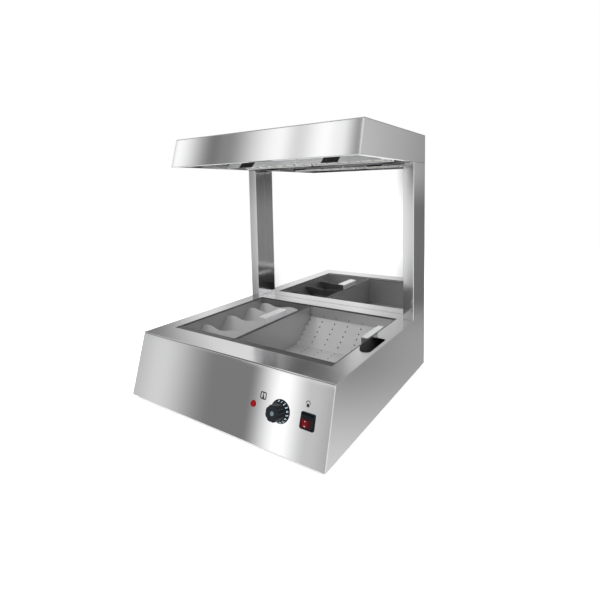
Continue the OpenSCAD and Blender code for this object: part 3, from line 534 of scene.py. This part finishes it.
def number_mesh(text, height):
    """Flat mesh of a plain number, centred on its middle."""
    curve = bpy.data.curves.new("number", "FONT")
    curve.body = text
    curve.size = height / FIGURE_SHARE
    curve.align_x = "CENTER"
    curve.align_y = "CENTER"
    curve.extrude = sizes().ink / 2
    curve.resolution_u = 3
    holder = bpy.data.objects.new("number", curve)
    bpy.context.scene.collection.objects.link(holder)
    bpy.context.view_layer.update()
    graph = bpy.context.evaluated_depsgraph_get()
    mesh = bpy.data.meshes.new_from_object(holder.evaluated_get(graph))
    bpy.data.objects.remove(holder)
    bpy.data.curves.remove(curve)
    return mesh


def disc(shape, radius, centre=(0, 0), segments=32):
    """Adds a flat round face to a mark."""
    bmesh.ops.create_circle(
        shape, cap_ends=True, segments=segments, radius=radius, matrix=Matrix.Translation((*centre, 0)))


def bar(shape, width, height, centre=(0, 0), corner=0.0):
    """Adds a flat rectangle with round corners to a mark."""
    grow = Matrix.Translation((*centre, 0)) @ Matrix.Diagonal((width / 2, height / 2, 1, 1))
    verts = bmesh.ops.create_grid(shape, x_segments=1, y_segments=1, size=1, matrix=grow)["verts"]
    if corner:
        bmesh.ops.bevel(shape, geom=verts, offset=corner, offset_type="OFFSET", segments=5, profile=0.5,
                        affect="VERTICES", material=-1)


def hollow(shape, width):
    """Turns a mark's one face into a frame of that width."""
    shape.normal_update()
    face = shape.faces[:][0]
    bmesh.ops.inset_region(shape, faces=[face], thickness=width, use_even_offset=True, use_boundary=True)
    bmesh.ops.delete(shape, geom=[face], context="FACES_ONLY")


def raise_mark(shape):
    """Gives a flat mark the thickness of a film of ink."""
    grown = bmesh.ops.extrude_face_region(shape, geom=shape.faces[:])["geom"]
    lifted = [g for g in grown if isinstance(g, bmesh.types.BMVert)]
    bmesh.ops.translate(shape, verts=lifted, vec=(0, 0, sizes().ink))
    bmesh.ops.recalc_face_normals(shape, faces=shape.faces[:])


def mark_piece(name, parts, matrix, key, body):
    """Joins the parts of a mark, lays it on its place and makes it a piece."""
    whole = bmesh.new()
    for part in parts:
        raise_mark(part)
        step = bpy.data.meshes.new("step")
        part.to_mesh(step)
        part.free()
        whole.from_mesh(step)
        bpy.data.meshes.remove(step)
    bmesh.ops.transform(whole, verts=whole.verts, matrix=matrix)
    mesh = bpy.data.meshes.new(name)
    whole.to_mesh(mesh)
    whole.free()
    keep_piece(mesh, key, body)


def thermometer_parts():
    """Rounded frame with a thermometer in it."""
    outline, inside = bmesh.new(), bmesh.new()
    bar(outline, 16 * MM, 15.4 * MM, corner=3.6 * MM)
    hollow(outline, 2.3 * MM)
    bar(inside, 2.3 * MM, 8.6 * MM, (0, 0.9 * MM), corner=0.8 * MM)
    bulb = bmesh.new()
    disc(bulb, 2.7 * MM, (0, -3.6 * MM))
    return [outline, inside, bulb]


def lamp_parts():
    """Open half ring over a round lamp."""
    shade, lamp = bmesh.new(), bmesh.new()
    disc(shade, 5.2 * MM, (0, 0.6 * MM), 40)
    hollow(shade, 1.4 * MM)
    below = [v for v in shade.verts if v.co.y < -0.6 * MM]
    bmesh.ops.delete(shade, geom=below, context="VERTS")
    disc(lamp, 3.5 * MM, (0, -3.4 * MM))
    return [shade, lamp]


class WARMER_OT_casing(bpy.types.Operator):
    """Finish the base's casing, its feet, screws and gland"""

    bl_idname = "warmer.casing"
    bl_label = "Casing"

    def execute(self, context):
        edge = sizes().sheet_edge
        soften("steel_x", edge, "front_panel", corner=sizes().fold_corner)
        soften("steel_x", edge, "rear_panel")
        soften("steel_y", edge, "left_side_panel", "right_side_panel")
        soften("inner", edge, "bottom_plate")
        finish("rubber", "feet")
        finish("wire", "rear_panel_screws")
        finish("nylon", "cable_gland")
        return {"FINISHED"}


class WARMER_OT_deck(bpy.types.Operator):
    """Finish the deck with its opening and finger notch"""

    bl_idname = "warmer.deck"
    bl_label = "Deck"

    def execute(self, context):
        soften("steel_x", sizes().sheet_edge * DECK_EDGE, "deck")
        return {"FINISHED"}


class WARMER_OT_well(bpy.types.Operator):
    """Finish the well, its rails, heater and insulation, and the parts behind the front panel"""

    bl_idname = "warmer.well"
    bl_label = "Well and heater"

    def execute(self, context):
        soften("inner", sizes().thin_edge, "well_liner", "pan_rails")
        finish("inner", "heater_clips")
        finish("sheath", "well_heater")
        finish("wool", "insulation_slab")
        finish("copper", "thermostat_probe")
        finish("ceramic", "terminal_block")
        finish("knob", "thermostat_body")
        finish("wire", "thermostat_shaft")
        return {"FINISHED"}


class WARMER_OT_uprights(bpy.types.Operator):
    """Finish the posts and the polished back panel"""

    bl_idname = "warmer.uprights"
    bl_label = "Posts and back"

    def execute(self, context):
        soften("steel_z", sizes().sheet_edge * POST_EDGE, "left_post", "right_post")
        soften("mirror", sizes().thin_edge, "back_panel")
        return {"FINISHED"}


class WARMER_OT_canopy(bpy.types.Operator):
    """Finish the canopy's sheets"""

    bl_idname = "warmer.canopy"
    bl_label = "Canopy"

    def execute(self, context):
        edge = sizes().sheet_edge
        soften("steel_x", edge, "canopy_front", corner=sizes().fold_corner)
        soften("steel_x", edge, "canopy_rear", "canopy_top")
        soften("steel_y", edge, "canopy_left_side", "canopy_right_side")
        return {"FINISHED"}


class WARMER_OT_lamps(bpy.types.Operator):
    """Finish the two lamps under the canopy"""

    bl_idname = "warmer.lamps"
    bl_label = "Lamps"

    def execute(self, context):
        for side in ("left", "right"):
            soften("reflector", sizes().thin_edge, f"{side}_reflector")
            soften("bracket", sizes().thin_edge, f"{side}_lamp_bracket")
            soften("ceramic", sizes().thin_edge, f"{side}_lamp_holders")
            finish("quartz", f"{side}_lamp_tube")
            finish("wire", f"{side}_lamp_guard")
        return {"FINISHED"}


class WARMER_OT_pans(bpy.types.Operator):
    """Finish the two pans with their handles and dividers"""

    bl_idname = "warmer.pans"
    bl_label = "Pans"

    def execute(self, context):
        thin = sizes().thin_edge
        soften("pan", thin, "left_pan", "right_pan")
        soften("divider", thin, "divider_plates")
        soften("handle", thin * HANDLE_EDGE, "left_handle", "right_handle")
        return {"FINISHED"}


class WARMER_OT_insert(bpy.types.Operator):
    """Finish the perforated insert"""

    bl_idname = "warmer.insert"
    bl_label = "Perforated insert"

    def execute(self, context):
        for piece in soften("insert", sizes().thin_edge, "perforated_insert"):
            darken_holes(piece)
        return {"FINISHED"}


class WARMER_OT_pilot(bpy.types.Operator):
    """Finish the pilot lamp"""

    bl_idname = "warmer.pilot"
    bl_label = "Pilot lamp"

    def execute(self, context):
        finish("lens", "pilot_lens")
        finish("wire", "pilot_lamp_holder")
        leave_unmirrored(frame["nodes"]["pilot_lens"], frame["nodes"]["pilot_lamp_holder"])
        return {"FINISHED"}


class WARMER_OT_knob(bpy.types.Operator):
    """Finish the knob and print plain numbers on its dial"""

    bl_idname = "warmer.knob"
    bl_label = "Knob"

    def execute(self, context):
        grip = soften("knob", sizes().moulded_edge, "knob_grip")
        dial = soften("knob", sizes().thin_edge, "knob_dial")
        finish("cap", "knob_cap")
        leave_unmirrored(*grip, *dial, frame["nodes"]["knob_cap"])
        outward, up = panel_axes()
        centre = Vector(JOINTS["knob_turn"]["pos_m"])
        parts = bmesh.new()
        for i in range(sizes().number_count):
            turn = Matrix.Rotation(-(i - ZERO_STEPS) * sizes().number_step, 3, outward)
            radial = turn @ up
            start = centre + radial * sizes().number_radius + outward * DIAL_PROBE
            place, normal = surface("knob_dial", start, -outward)
            mesh = number_mesh(str(i), sizes().number_height)
            mesh.transform(standing(place + normal * sizes().ink / 2, normal, radial))
            parts.from_mesh(mesh)
            bpy.data.meshes.remove(mesh)
        mesh = bpy.data.meshes.new("dial_numbers")
        parts.to_mesh(mesh)
        parts.free()
        leave_unmirrored(keep_piece(mesh, "pale_ink", "knob"))
        return {"FINISHED"}


class WARMER_OT_switch(bpy.types.Operator):
    """Finish the rocker switch with its lit window and its two plain marks"""

    bl_idname = "warmer.switch"
    bl_label = "Rocker switch"

    def execute(self, context):
        edge = sizes().moulded_edge
        body = soften("switch", edge, "switch_housing", "switch_rocker", shortest=SWITCH_EDGE)
        glass = soften("window", sizes().thin_edge, "rocker_lens")
        leave_unmirrored(*body, *glass)
        outward, up = panel_axes()
        low, high = (Vector(corner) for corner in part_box("rocker_lens"))
        centre = (low + high) / 2
        place, normal = surface("rocker_lens", centre + outward * PROBE, -outward)
        lay = standing(place, normal, up)
        window = bmesh.new()
        bar(window, 13 * MM, 12.6 * MM, (-0.6 * MM, -0.6 * MM), corner=0.5 * MM)
        mark_piece("lit_window", [window], lay, "lit", "rocker")
        stroke, ring = bmesh.new(), bmesh.new()
        bar(stroke, 0.9 * MM, 1.6 * MM, (-0.6 * MM, 3.9 * MM))
        disc(ring, 1.0 * MM, (-0.6 * MM, -5.2 * MM), 24)
        hollow(ring, 0.4 * MM)
        over = Matrix.Translation(normal * sizes().ink) @ lay
        mark_piece("switch_marks", [stroke, ring], over, "pale_ink", "rocker")
        return {"FINISHED"}


class WARMER_OT_marks(bpy.types.Operator):
    """Print the thermometer and lamp signs on the front panel"""

    bl_idname = "warmer.marks"
    bl_label = "Printed signs"

    def execute(self, context):
        outward, up = panel_axes()
        knob = Vector(JOINTS["knob_turn"]["pos_m"])
        switch = Vector(JOINTS["rocker_tilt"]["pos_m"])
        signs = (
            ("thermometer_sign", thermometer_parts(), knob, THERMOMETER_PLACE),
            ("lamp_sign", lamp_parts(), switch, LAMP_PLACE),
        )
        for name, parts, middle, (right, above) in signs:
            near = middle + Vector((right, 0, 0)) + up * above
            place, normal = surface("front_panel", near + outward * PROBE, -outward)
            mark_piece(name, parts, standing(place, normal, up), "dark_ink", "housing")
        return {"FINISHED"}


# Studio
CAMERA_PLACE = (663.65 * MM, -916.24 * MM, 532.1 * MM)
CAMERA_YAW = math.radians(33.9)
CAMERA_PITCH = math.radians(5.0)
CAMERA_ROLL = math.radians(-1.15)
CAMERA_LENS = 25.096
CAMERA_SENSOR = 36
CAMERA_SHIFT = -0.1229
CAMERA_NEAR = 0.05
CAMERA_FAR = 60

# Grey that the camera sees behind the object, light from above, and the degrees above level where that
# light starts and is full
BACKDROP = 1.0
TOP_LIGHT = 0.9
TOP_START = 45
TOP_FULL = 60

# Soft lights far from the object: name, place, target, width and watts
STUDIO_LIGHTS = (
    ("key", (-0.9, -1.4, 2.2), (0, 0, 0.2), 1.6, 34),
    ("fill", (1.8, -1.0, 1.6), (0, 0, 0.2), 1.4, 16),
    ("rear", (0.6, 2.2, 1.8), (0, 0, 0.3), 1.4, 16),
)

# Soft lights for the warmer's own lamps: watts below and above each lamp, the drop below its guard, and the
# glow under the canopy by place, target, width, watts and depth
LAMP_WATTS = 0.34
REFLECTOR_WATTS = 0.04
LAMP_DROP = 4 * MM
CANOPY_GLOW = ((0, -60 * MM, 0.665), (0, 60 * MM, 0.607), 0.5, 0.2, 0.04)

# Light in front of the back panel for the sides of the pans that show in it: its distance and height, its
# target's, and its width, watts and depth
MIRRORED_PLACE = (10 * MM, 0.42)
MIRRORED_TARGET = (0.35, 0.16)
MIRRORED_GLOW = (0.48, 3.2, 0.12)

# How far away a reflection still shows a card
CARD_REACH = 0.36

# Floor: its radius, where it starts to fade, where it has faded out, and how strongly it glows
FLOOR_RADIUS = 3.0
FLOOR_CLEAR = 0.7
FLOOR_FADED = 0.95 * FLOOR_RADIUS
FLOOR_GLOW = 0.45

# Studio surround: rows of degrees from the front towards the left, and the grey of the screen there. Each
# storey of screens reaches up to the next; ZONES gives the degrees above level where it starts and is full
DEEP = ((-180, 0.7), (-155, 0.95), (-60, 1.5), (10, 1.5), (19, 0.6), (130, 0.7), (180, 0.7))
BELOW = ((-180, 0.48), (-162, 0.48), (-152, 0.3), (-130, 0.7), (-100, 1.2), (-90, 0.75), (-78, 0.75),
         (-66, 2.1), (-50, 2.1), (-43, 0.1), (-34, 0.1), (-28, 1.5), (10, 1.5), (16, 0.15), (19, 0.15),
         (21, 1.0), (37, 1.0), (39.5, 0.2), (50, 0.8), (130, 0.5), (180, 0.4))
FOOT = ((-180, 0.18), (-155, 0.2), (-145, 0.5), (-100, 1.2), (-90, 0.75), (-78, 0.75), (-66, 2.1),
        (-50, 2.1), (-43, 0.08), (-34, 0.08), (-28, 1.5), (10, 1.5), (16, 0.1), (19, 0.1), (21, 1.0),
        (37, 1.0), (39.5, 0.15), (50, 0.8), (130, 0.5), (180, 0.3))
LEVEL = ((-180, 0.25), (-162, 0.2), (-150, 0.45), (-130, 0.9), (-105, 1.2), (-92, 0.8), (-78, 0.8),
         (-62, 2.1), (-45, 0.4), (-38, 0.3), (-34, 0.3), (-28, 1.5), (10, 1.5), (15, 0.8), (19, 0.9),
         (20.5, 1.25), (37.5, 1.25), (38.8, 0.6), (45, 0.6), (60, 0.8), (110, 0.9), (122, 1.1), (155, 1.1),
         (180, 0.25))
EYE = ((-180, 0.3), (-164, 0.38), (-159, 0.6), (-154, 0.8), (-105, 1.2), (-85, 0.8), (-62, 1.3), (-45, 0.3),
       (-39, 0.1), (-34, 0.1), (-28, 1.5), (11, 1.5), (16, 0.1), (19, 0.1), (20.5, 1.2), (37.5, 1.2),
       (39, 0.2), (48, 0.8), (60, 0.8), (130, 0.4), (180, 0.3))
RISE = ((-180, 0.3), (-150, 0.6), (-110, 1.4), (-92, 0.8), (-78, 0.8), (-60, 1.7), (11, 1.7), (16, 0.6),
        (18, 0.6), (22, 0.9), (28, 1.35), (34, 1.25), (40, 0.1), (50, 0.6), (100, 0.5), (126, 0.25),
        (133, 1.1), (138, 0.6), (180, 0.3))
UPPER = ((-180, 0.4), (-60, 0.6), (0, 0.5), (22, 0.6), (26.5, 1.0), (28.5, 0.5), (30.5, 0.1), (33, 0.02),
         (35.5, 0.08), (37.2, 0.3), (38.6, 0.9), (42, 0.95), (50, 0.8), (100, 0.5), (126, 0.3), (131, 0.6),
         (134.5, 1.1), (140, 1.15), (143, 0.75), (150, 0.5), (180, 0.4))
HIGH = ((-180, 0.6), (-60, 0.6), (-28, 1.6), (12, 1.6), (18, 0.6), (27, 0.6), (29.5, 0.06), (36, 0.06),
        (40, 0.7), (60, 0.8), (100, 0.6), (140, 0.8), (180, 0.6))
OVER = ((-180, 0.6), (-100, 0.7), (-60, 1.5), (28, 1.5), (45, 0.8), (140, 0.8), (180, 0.6))
ZONES = ((-34, -24, BELOW), (-18, -15, FOOT), (-14.5, -9, LEVEL), (-2.5, 1.5, EYE), (9, 12, RISE),
         (16.5, 20, UPPER), (25, 28, HIGH), (31, 34, OVER))

# Cards that only reflections see: rows of millimetres along X, and the grey there. CARDS gives the leaning
# sheet that each stands in front of, its distance, and its reach below and above that sheet's top edge
BASE_CARD = ((-360, 0.78), (-255, 0.98), (-52, 0.29), (48, 0.29), (148, 1.65), (219, 0.82), (284, 0.6))
CANOPY_CARD = ((-440, 1.6), (-262, 0.27), (-215, 0.36), (-15, 1.48), (45, 1.06), (125, 1.55), (170, 1.35),
               (225, 0.42))
CARDS = (
    ("base_card", "front_panel", 46 * MM, 210 * MM, -12 * MM, BASE_CARD),
    ("canopy_card", "canopy_front", 120 * MM, 60 * MM, 110 * MM, CANOPY_CARD),
)


def soft_bands(tree, place, bands):
    """Greys that blend into each other along a place that runs from 0 to 1 over the bands."""
    node = add_node(tree, "ShaderNodeValToRGB", {"Fac": place})
    ramp = node.color_ramp
    ramp.interpolation = "EASE"
    first, last = bands[0][0], bands[-1][0]
    for i, (mark, grey) in enumerate(bands):
        at = (mark - first) / (last - first)
        stop = ramp.elements[i] if i < 2 else ramp.elements.new(at)
        stop.position = at
        stop.color = (grey, grey, grey, 1)
    return node.outputs["Color"]


def make_world():
    """Soft studio surround: upright light and dark screens for reflections, plain pale where the camera
    looks."""
    world = bpy.data.worlds.new("studio")
    bpy.context.scene.world = world
    world.use_nodes = True
    tree = world.node_tree
    tree.nodes.clear()
    place = add_node(tree, "ShaderNodeTexCoord")
    split = add_node(tree, "ShaderNodeSeparateXYZ", {"Vector": place.outputs["Generated"]})
    left = add_node(tree, "ShaderNodeMath", {0: split.outputs["X"], 1: -1.0}, operation="MULTIPLY")
    front = add_node(tree, "ShaderNodeMath", {0: split.outputs["Y"], 1: -1.0}, operation="MULTIPLY")
    turn = add_node(tree, "ShaderNodeMath", {0: left.outputs[0], 1: front.outputs[0]}, operation="ARCTAN2")
    angle = add_node(tree, "ShaderNodeMapRange", {
        "Value": turn.outputs[0], "From Min": -math.pi, "From Max": math.pi})
    colour = soft_bands(tree, angle.outputs["Result"], DEEP)
    top = add_node(tree, "ShaderNodeRGB").outputs["Color"]
    top.default_value = (TOP_LIGHT, TOP_LIGHT, TOP_LIGHT, 1)
    zones = [(start, end, soft_bands(tree, angle.outputs["Result"], greys)) for start, end, greys in ZONES]
    for start, end, zone in (*zones, (TOP_START, TOP_FULL, top)):
        rise = add_node(tree, "ShaderNodeMapRange", {
            "Value": split.outputs["Z"], "From Min": math.sin(math.radians(start)),
            "From Max": math.sin(math.radians(end))})
        mix = add_node(tree, "ShaderNodeMixRGB", {
            "Fac": rise.outputs["Result"], "Color1": colour, "Color2": zone})
        colour = mix.outputs["Color"]
    rays = add_node(tree, "ShaderNodeLightPath")
    shown = add_node(tree, "ShaderNodeMixRGB", {
        "Fac": rays.outputs["Is Camera Ray"], "Color1": colour,
        "Color2": (BACKDROP, BACKDROP, BACKDROP, 1)})
    glow = add_node(tree, "ShaderNodeBackground", {"Color": shown.outputs["Color"], "Strength": 1.0})
    add_node(tree, "ShaderNodeOutputWorld", {"Surface": glow.outputs["Background"]})


def make_floor():
    """Plain pale floor that fades out far from the object."""
    shape = bmesh.new()
    bmesh.ops.create_circle(shape, cap_ends=True, segments=96, radius=FLOOR_RADIUS)
    mesh = bpy.data.meshes.new("floor")
    shape.to_mesh(mesh)
    shape.free()
    floor = bpy.data.objects.new("floor", mesh)
    bpy.context.scene.collection.objects.link(floor)
    material, tree, shader = new_material("studio_floor", tuple(colours().floor), Roughness=0.9,
                                          Emission_Color=(1, 1, 1, 1), Emission_Strength=FLOOR_GLOW)
    place = add_node(tree, "ShaderNodeTexCoord")
    reach = add_node(tree, "ShaderNodeVectorMath", {0: place.outputs["Object"]}, operation="LENGTH")
    fade = add_node(tree, "ShaderNodeMapRange", {
        "Value": reach.outputs["Value"], "From Min": FLOOR_CLEAR, "From Max": FLOOR_FADED})
    clear = add_node(tree, "ShaderNodeBsdfTransparent")
    blend = add_node(tree, "ShaderNodeMixShader", {
        "Fac": fade.outputs["Result"], 1: shader.outputs["BSDF"], 2: clear.outputs["BSDF"]})
    tree.links.new(blend.outputs["Shader"], tree.nodes["Material Output"].inputs["Surface"])
    mesh.materials.append(material)
    floor.visible_glossy = False


def make_card(name, node, distance, below, above, bands):
    """Card parallel to a leaning sheet and in front of it, lit in bands of grey, that only near reflections
    see."""
    left, right = bands[0][0] * MM, bands[-1][0] * MM
    outward, up = panel_axes()
    high = Vector(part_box(node)[1])
    top = Vector(((left + right) / 2, high.y, high.z))
    middle = top + outward * distance + up * (above - below) / 2
    lay = Matrix((Vector((1, 0, 0)), up, outward)).transposed().to_4x4()
    grow = Matrix.Diagonal(((right - left) / 2, (above + below) / 2, 1, 1))
    shape = bmesh.new()
    bmesh.ops.create_grid(
        shape, x_segments=1, y_segments=1, size=1, matrix=Matrix.Translation(middle) @ lay @ grow)
    mesh = bpy.data.meshes.new(name)
    shape.to_mesh(mesh)
    shape.free()
    card = bpy.data.objects.new(name, mesh)
    bpy.context.scene.collection.objects.link(card)
    material = bpy.data.materials.new(name)
    material.use_nodes = True
    tree = material.node_tree
    tree.nodes.clear()
    place = add_node(tree, "ShaderNodeTexCoord")
    split = add_node(tree, "ShaderNodeSeparateXYZ", {"Vector": place.outputs["Object"]})
    along = add_node(tree, "ShaderNodeMapRange", {
        "Value": split.outputs["X"], "From Min": left, "From Max": right})
    glow = add_node(tree, "ShaderNodeEmission", {"Color": soft_bands(tree, along.outputs["Result"], bands)})
    clear = add_node(tree, "ShaderNodeBsdfTransparent")
    rays = add_node(tree, "ShaderNodeLightPath")
    far = add_node(tree, "ShaderNodeMath", {0: rays.outputs["Ray Length"], 1: CARD_REACH},
                   operation="GREATER_THAN")
    blend = add_node(tree, "ShaderNodeMixShader", {
        "Fac": far.outputs[0], 1: glow.outputs["Emission"], 2: clear.outputs["BSDF"]})
    add_node(tree, "ShaderNodeOutputMaterial", {"Surface": blend.outputs["Shader"]})
    mesh.materials.append(material)
    for kind in ("camera", "diffuse", "transmission", "volume_scatter", "shadow"):
        setattr(card, f"visible_{kind}", False)


def add_light(name, place, target, size, watts, depth=None):
    """Soft rectangular light that points at a target."""
    lamp = bpy.data.lights.new(name, "AREA")
    lamp.shape = "RECTANGLE"
    lamp.size = size
    lamp.size_y = depth or size
    lamp.energy = watts
    light = bpy.data.objects.new(name, lamp)
    bpy.context.scene.collection.objects.link(light)
    light.location = place
    light.rotation_mode = "QUATERNION"
    light.rotation_quaternion = (Vector(target) - Vector(place)).to_track_quat("-Z", "Y")
    light.visible_camera = False
    light.visible_glossy = False


class WARMER_OT_stage(bpy.types.Operator):
    """Make the camera, the surround, the floor and the lights"""

    bl_idname = "warmer.stage"
    bl_label = "Studio"

    def execute(self, context):
        scene = context.scene
        camera = bpy.data.cameras.new("camera")
        camera.lens = CAMERA_LENS
        camera.sensor_width = CAMERA_SENSOR
        camera.sensor_fit = "HORIZONTAL"
        camera.shift_y = CAMERA_SHIFT
        camera.clip_start = CAMERA_NEAR
        camera.clip_end = CAMERA_FAR
        eye = bpy.data.objects.new("camera", camera)
        scene.collection.objects.link(eye)
        eye.matrix_world = (
            Matrix.Translation(CAMERA_PLACE)
            @ Matrix.Rotation(CAMERA_YAW, 4, "Z")
            @ Matrix.Rotation(math.pi / 2 - CAMERA_PITCH, 4, "X")
            @ Matrix.Rotation(CAMERA_ROLL, 4, "Z")
        )
        scene.camera = eye
        scene.view_settings.view_transform = "Standard"
        make_world()
        make_floor()
        for card in CARDS:
            make_card(*card)
        for light in STUDIO_LIGHTS:
            add_light(*light)
        upright = Vector((0, 0, 1))
        for side in ("left", "right"):
            low, high = (Vector(corner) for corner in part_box(f"{side}_lamp_guard"))
            middle = (low + high) / 2
            size = high - low
            under = Vector((middle.x, middle.y, low.z - LAMP_DROP))
            over = Vector((middle.x, middle.y, high.z))
            add_light(f"{side} glow", under, under - upright, size.x, LAMP_WATTS, size.y)
            add_light(f"{side} reflector glow", over, over + upright, size.x, REFLECTOR_WATTS, size.y)
        add_light("canopy glow", *CANOPY_GLOW)
        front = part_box("back_panel")[0][1]
        place, target = [(0, front - away, height) for away, height in (MIRRORED_PLACE, MIRRORED_TARGET)]
        add_light("mirrored glow", place, target, *MIRRORED_GLOW)
        return {"FINISHED"}


OPERATORS = (
    WARMER_OT_stage, WARMER_OT_casing, WARMER_OT_deck, WARMER_OT_well, WARMER_OT_uprights, WARMER_OT_canopy,
    WARMER_OT_lamps, WARMER_OT_pans, WARMER_OT_insert, WARMER_OT_pilot, WARMER_OT_knob, WARMER_OT_switch,
    WARMER_OT_marks,
)


class WARMER_PT_panel(bpy.types.Panel):
    """Lists the steps that dress the warmer"""

    bl_idname = "WARMER_PT_panel"
    bl_label = "Chip warmer"
    bl_space_type = "VIEW_3D"
    bl_region_type = "UI"
    bl_category = "Warmer"

    def draw(self, context):
        column = self.layout.column()
        for group in (context.scene.warmer_sizes, context.scene.warmer_colours):
            for key in group.bl_rna.properties.keys():
                if key not in ("rna_type", "name"):
                    column.prop(group, key)
        for operator in OPERATORS:
            column.operator(operator.bl_idname)


CLASSES = (WarmerSizes, WarmerColours, *OPERATORS, WARMER_PT_panel)


def register():
    for item in CLASSES:
        bpy.utils.register_class(item)
    bpy.types.Scene.warmer_sizes = PointerProperty(type=WarmerSizes)
    bpy.types.Scene.warmer_colours = PointerProperty(type=WarmerColours)


def unregister():
    del bpy.types.Scene.warmer_colours
    del bpy.types.Scene.warmer_sizes
    for item in reversed(CLASSES):
        bpy.utils.unregister_class(item)


def main():
    register()
    for operator in OPERATORS:
        group, name = operator.bl_idname.split(".")
        getattr(getattr(bpy.ops, group), name)()


if __name__ == "__main__":
    main()
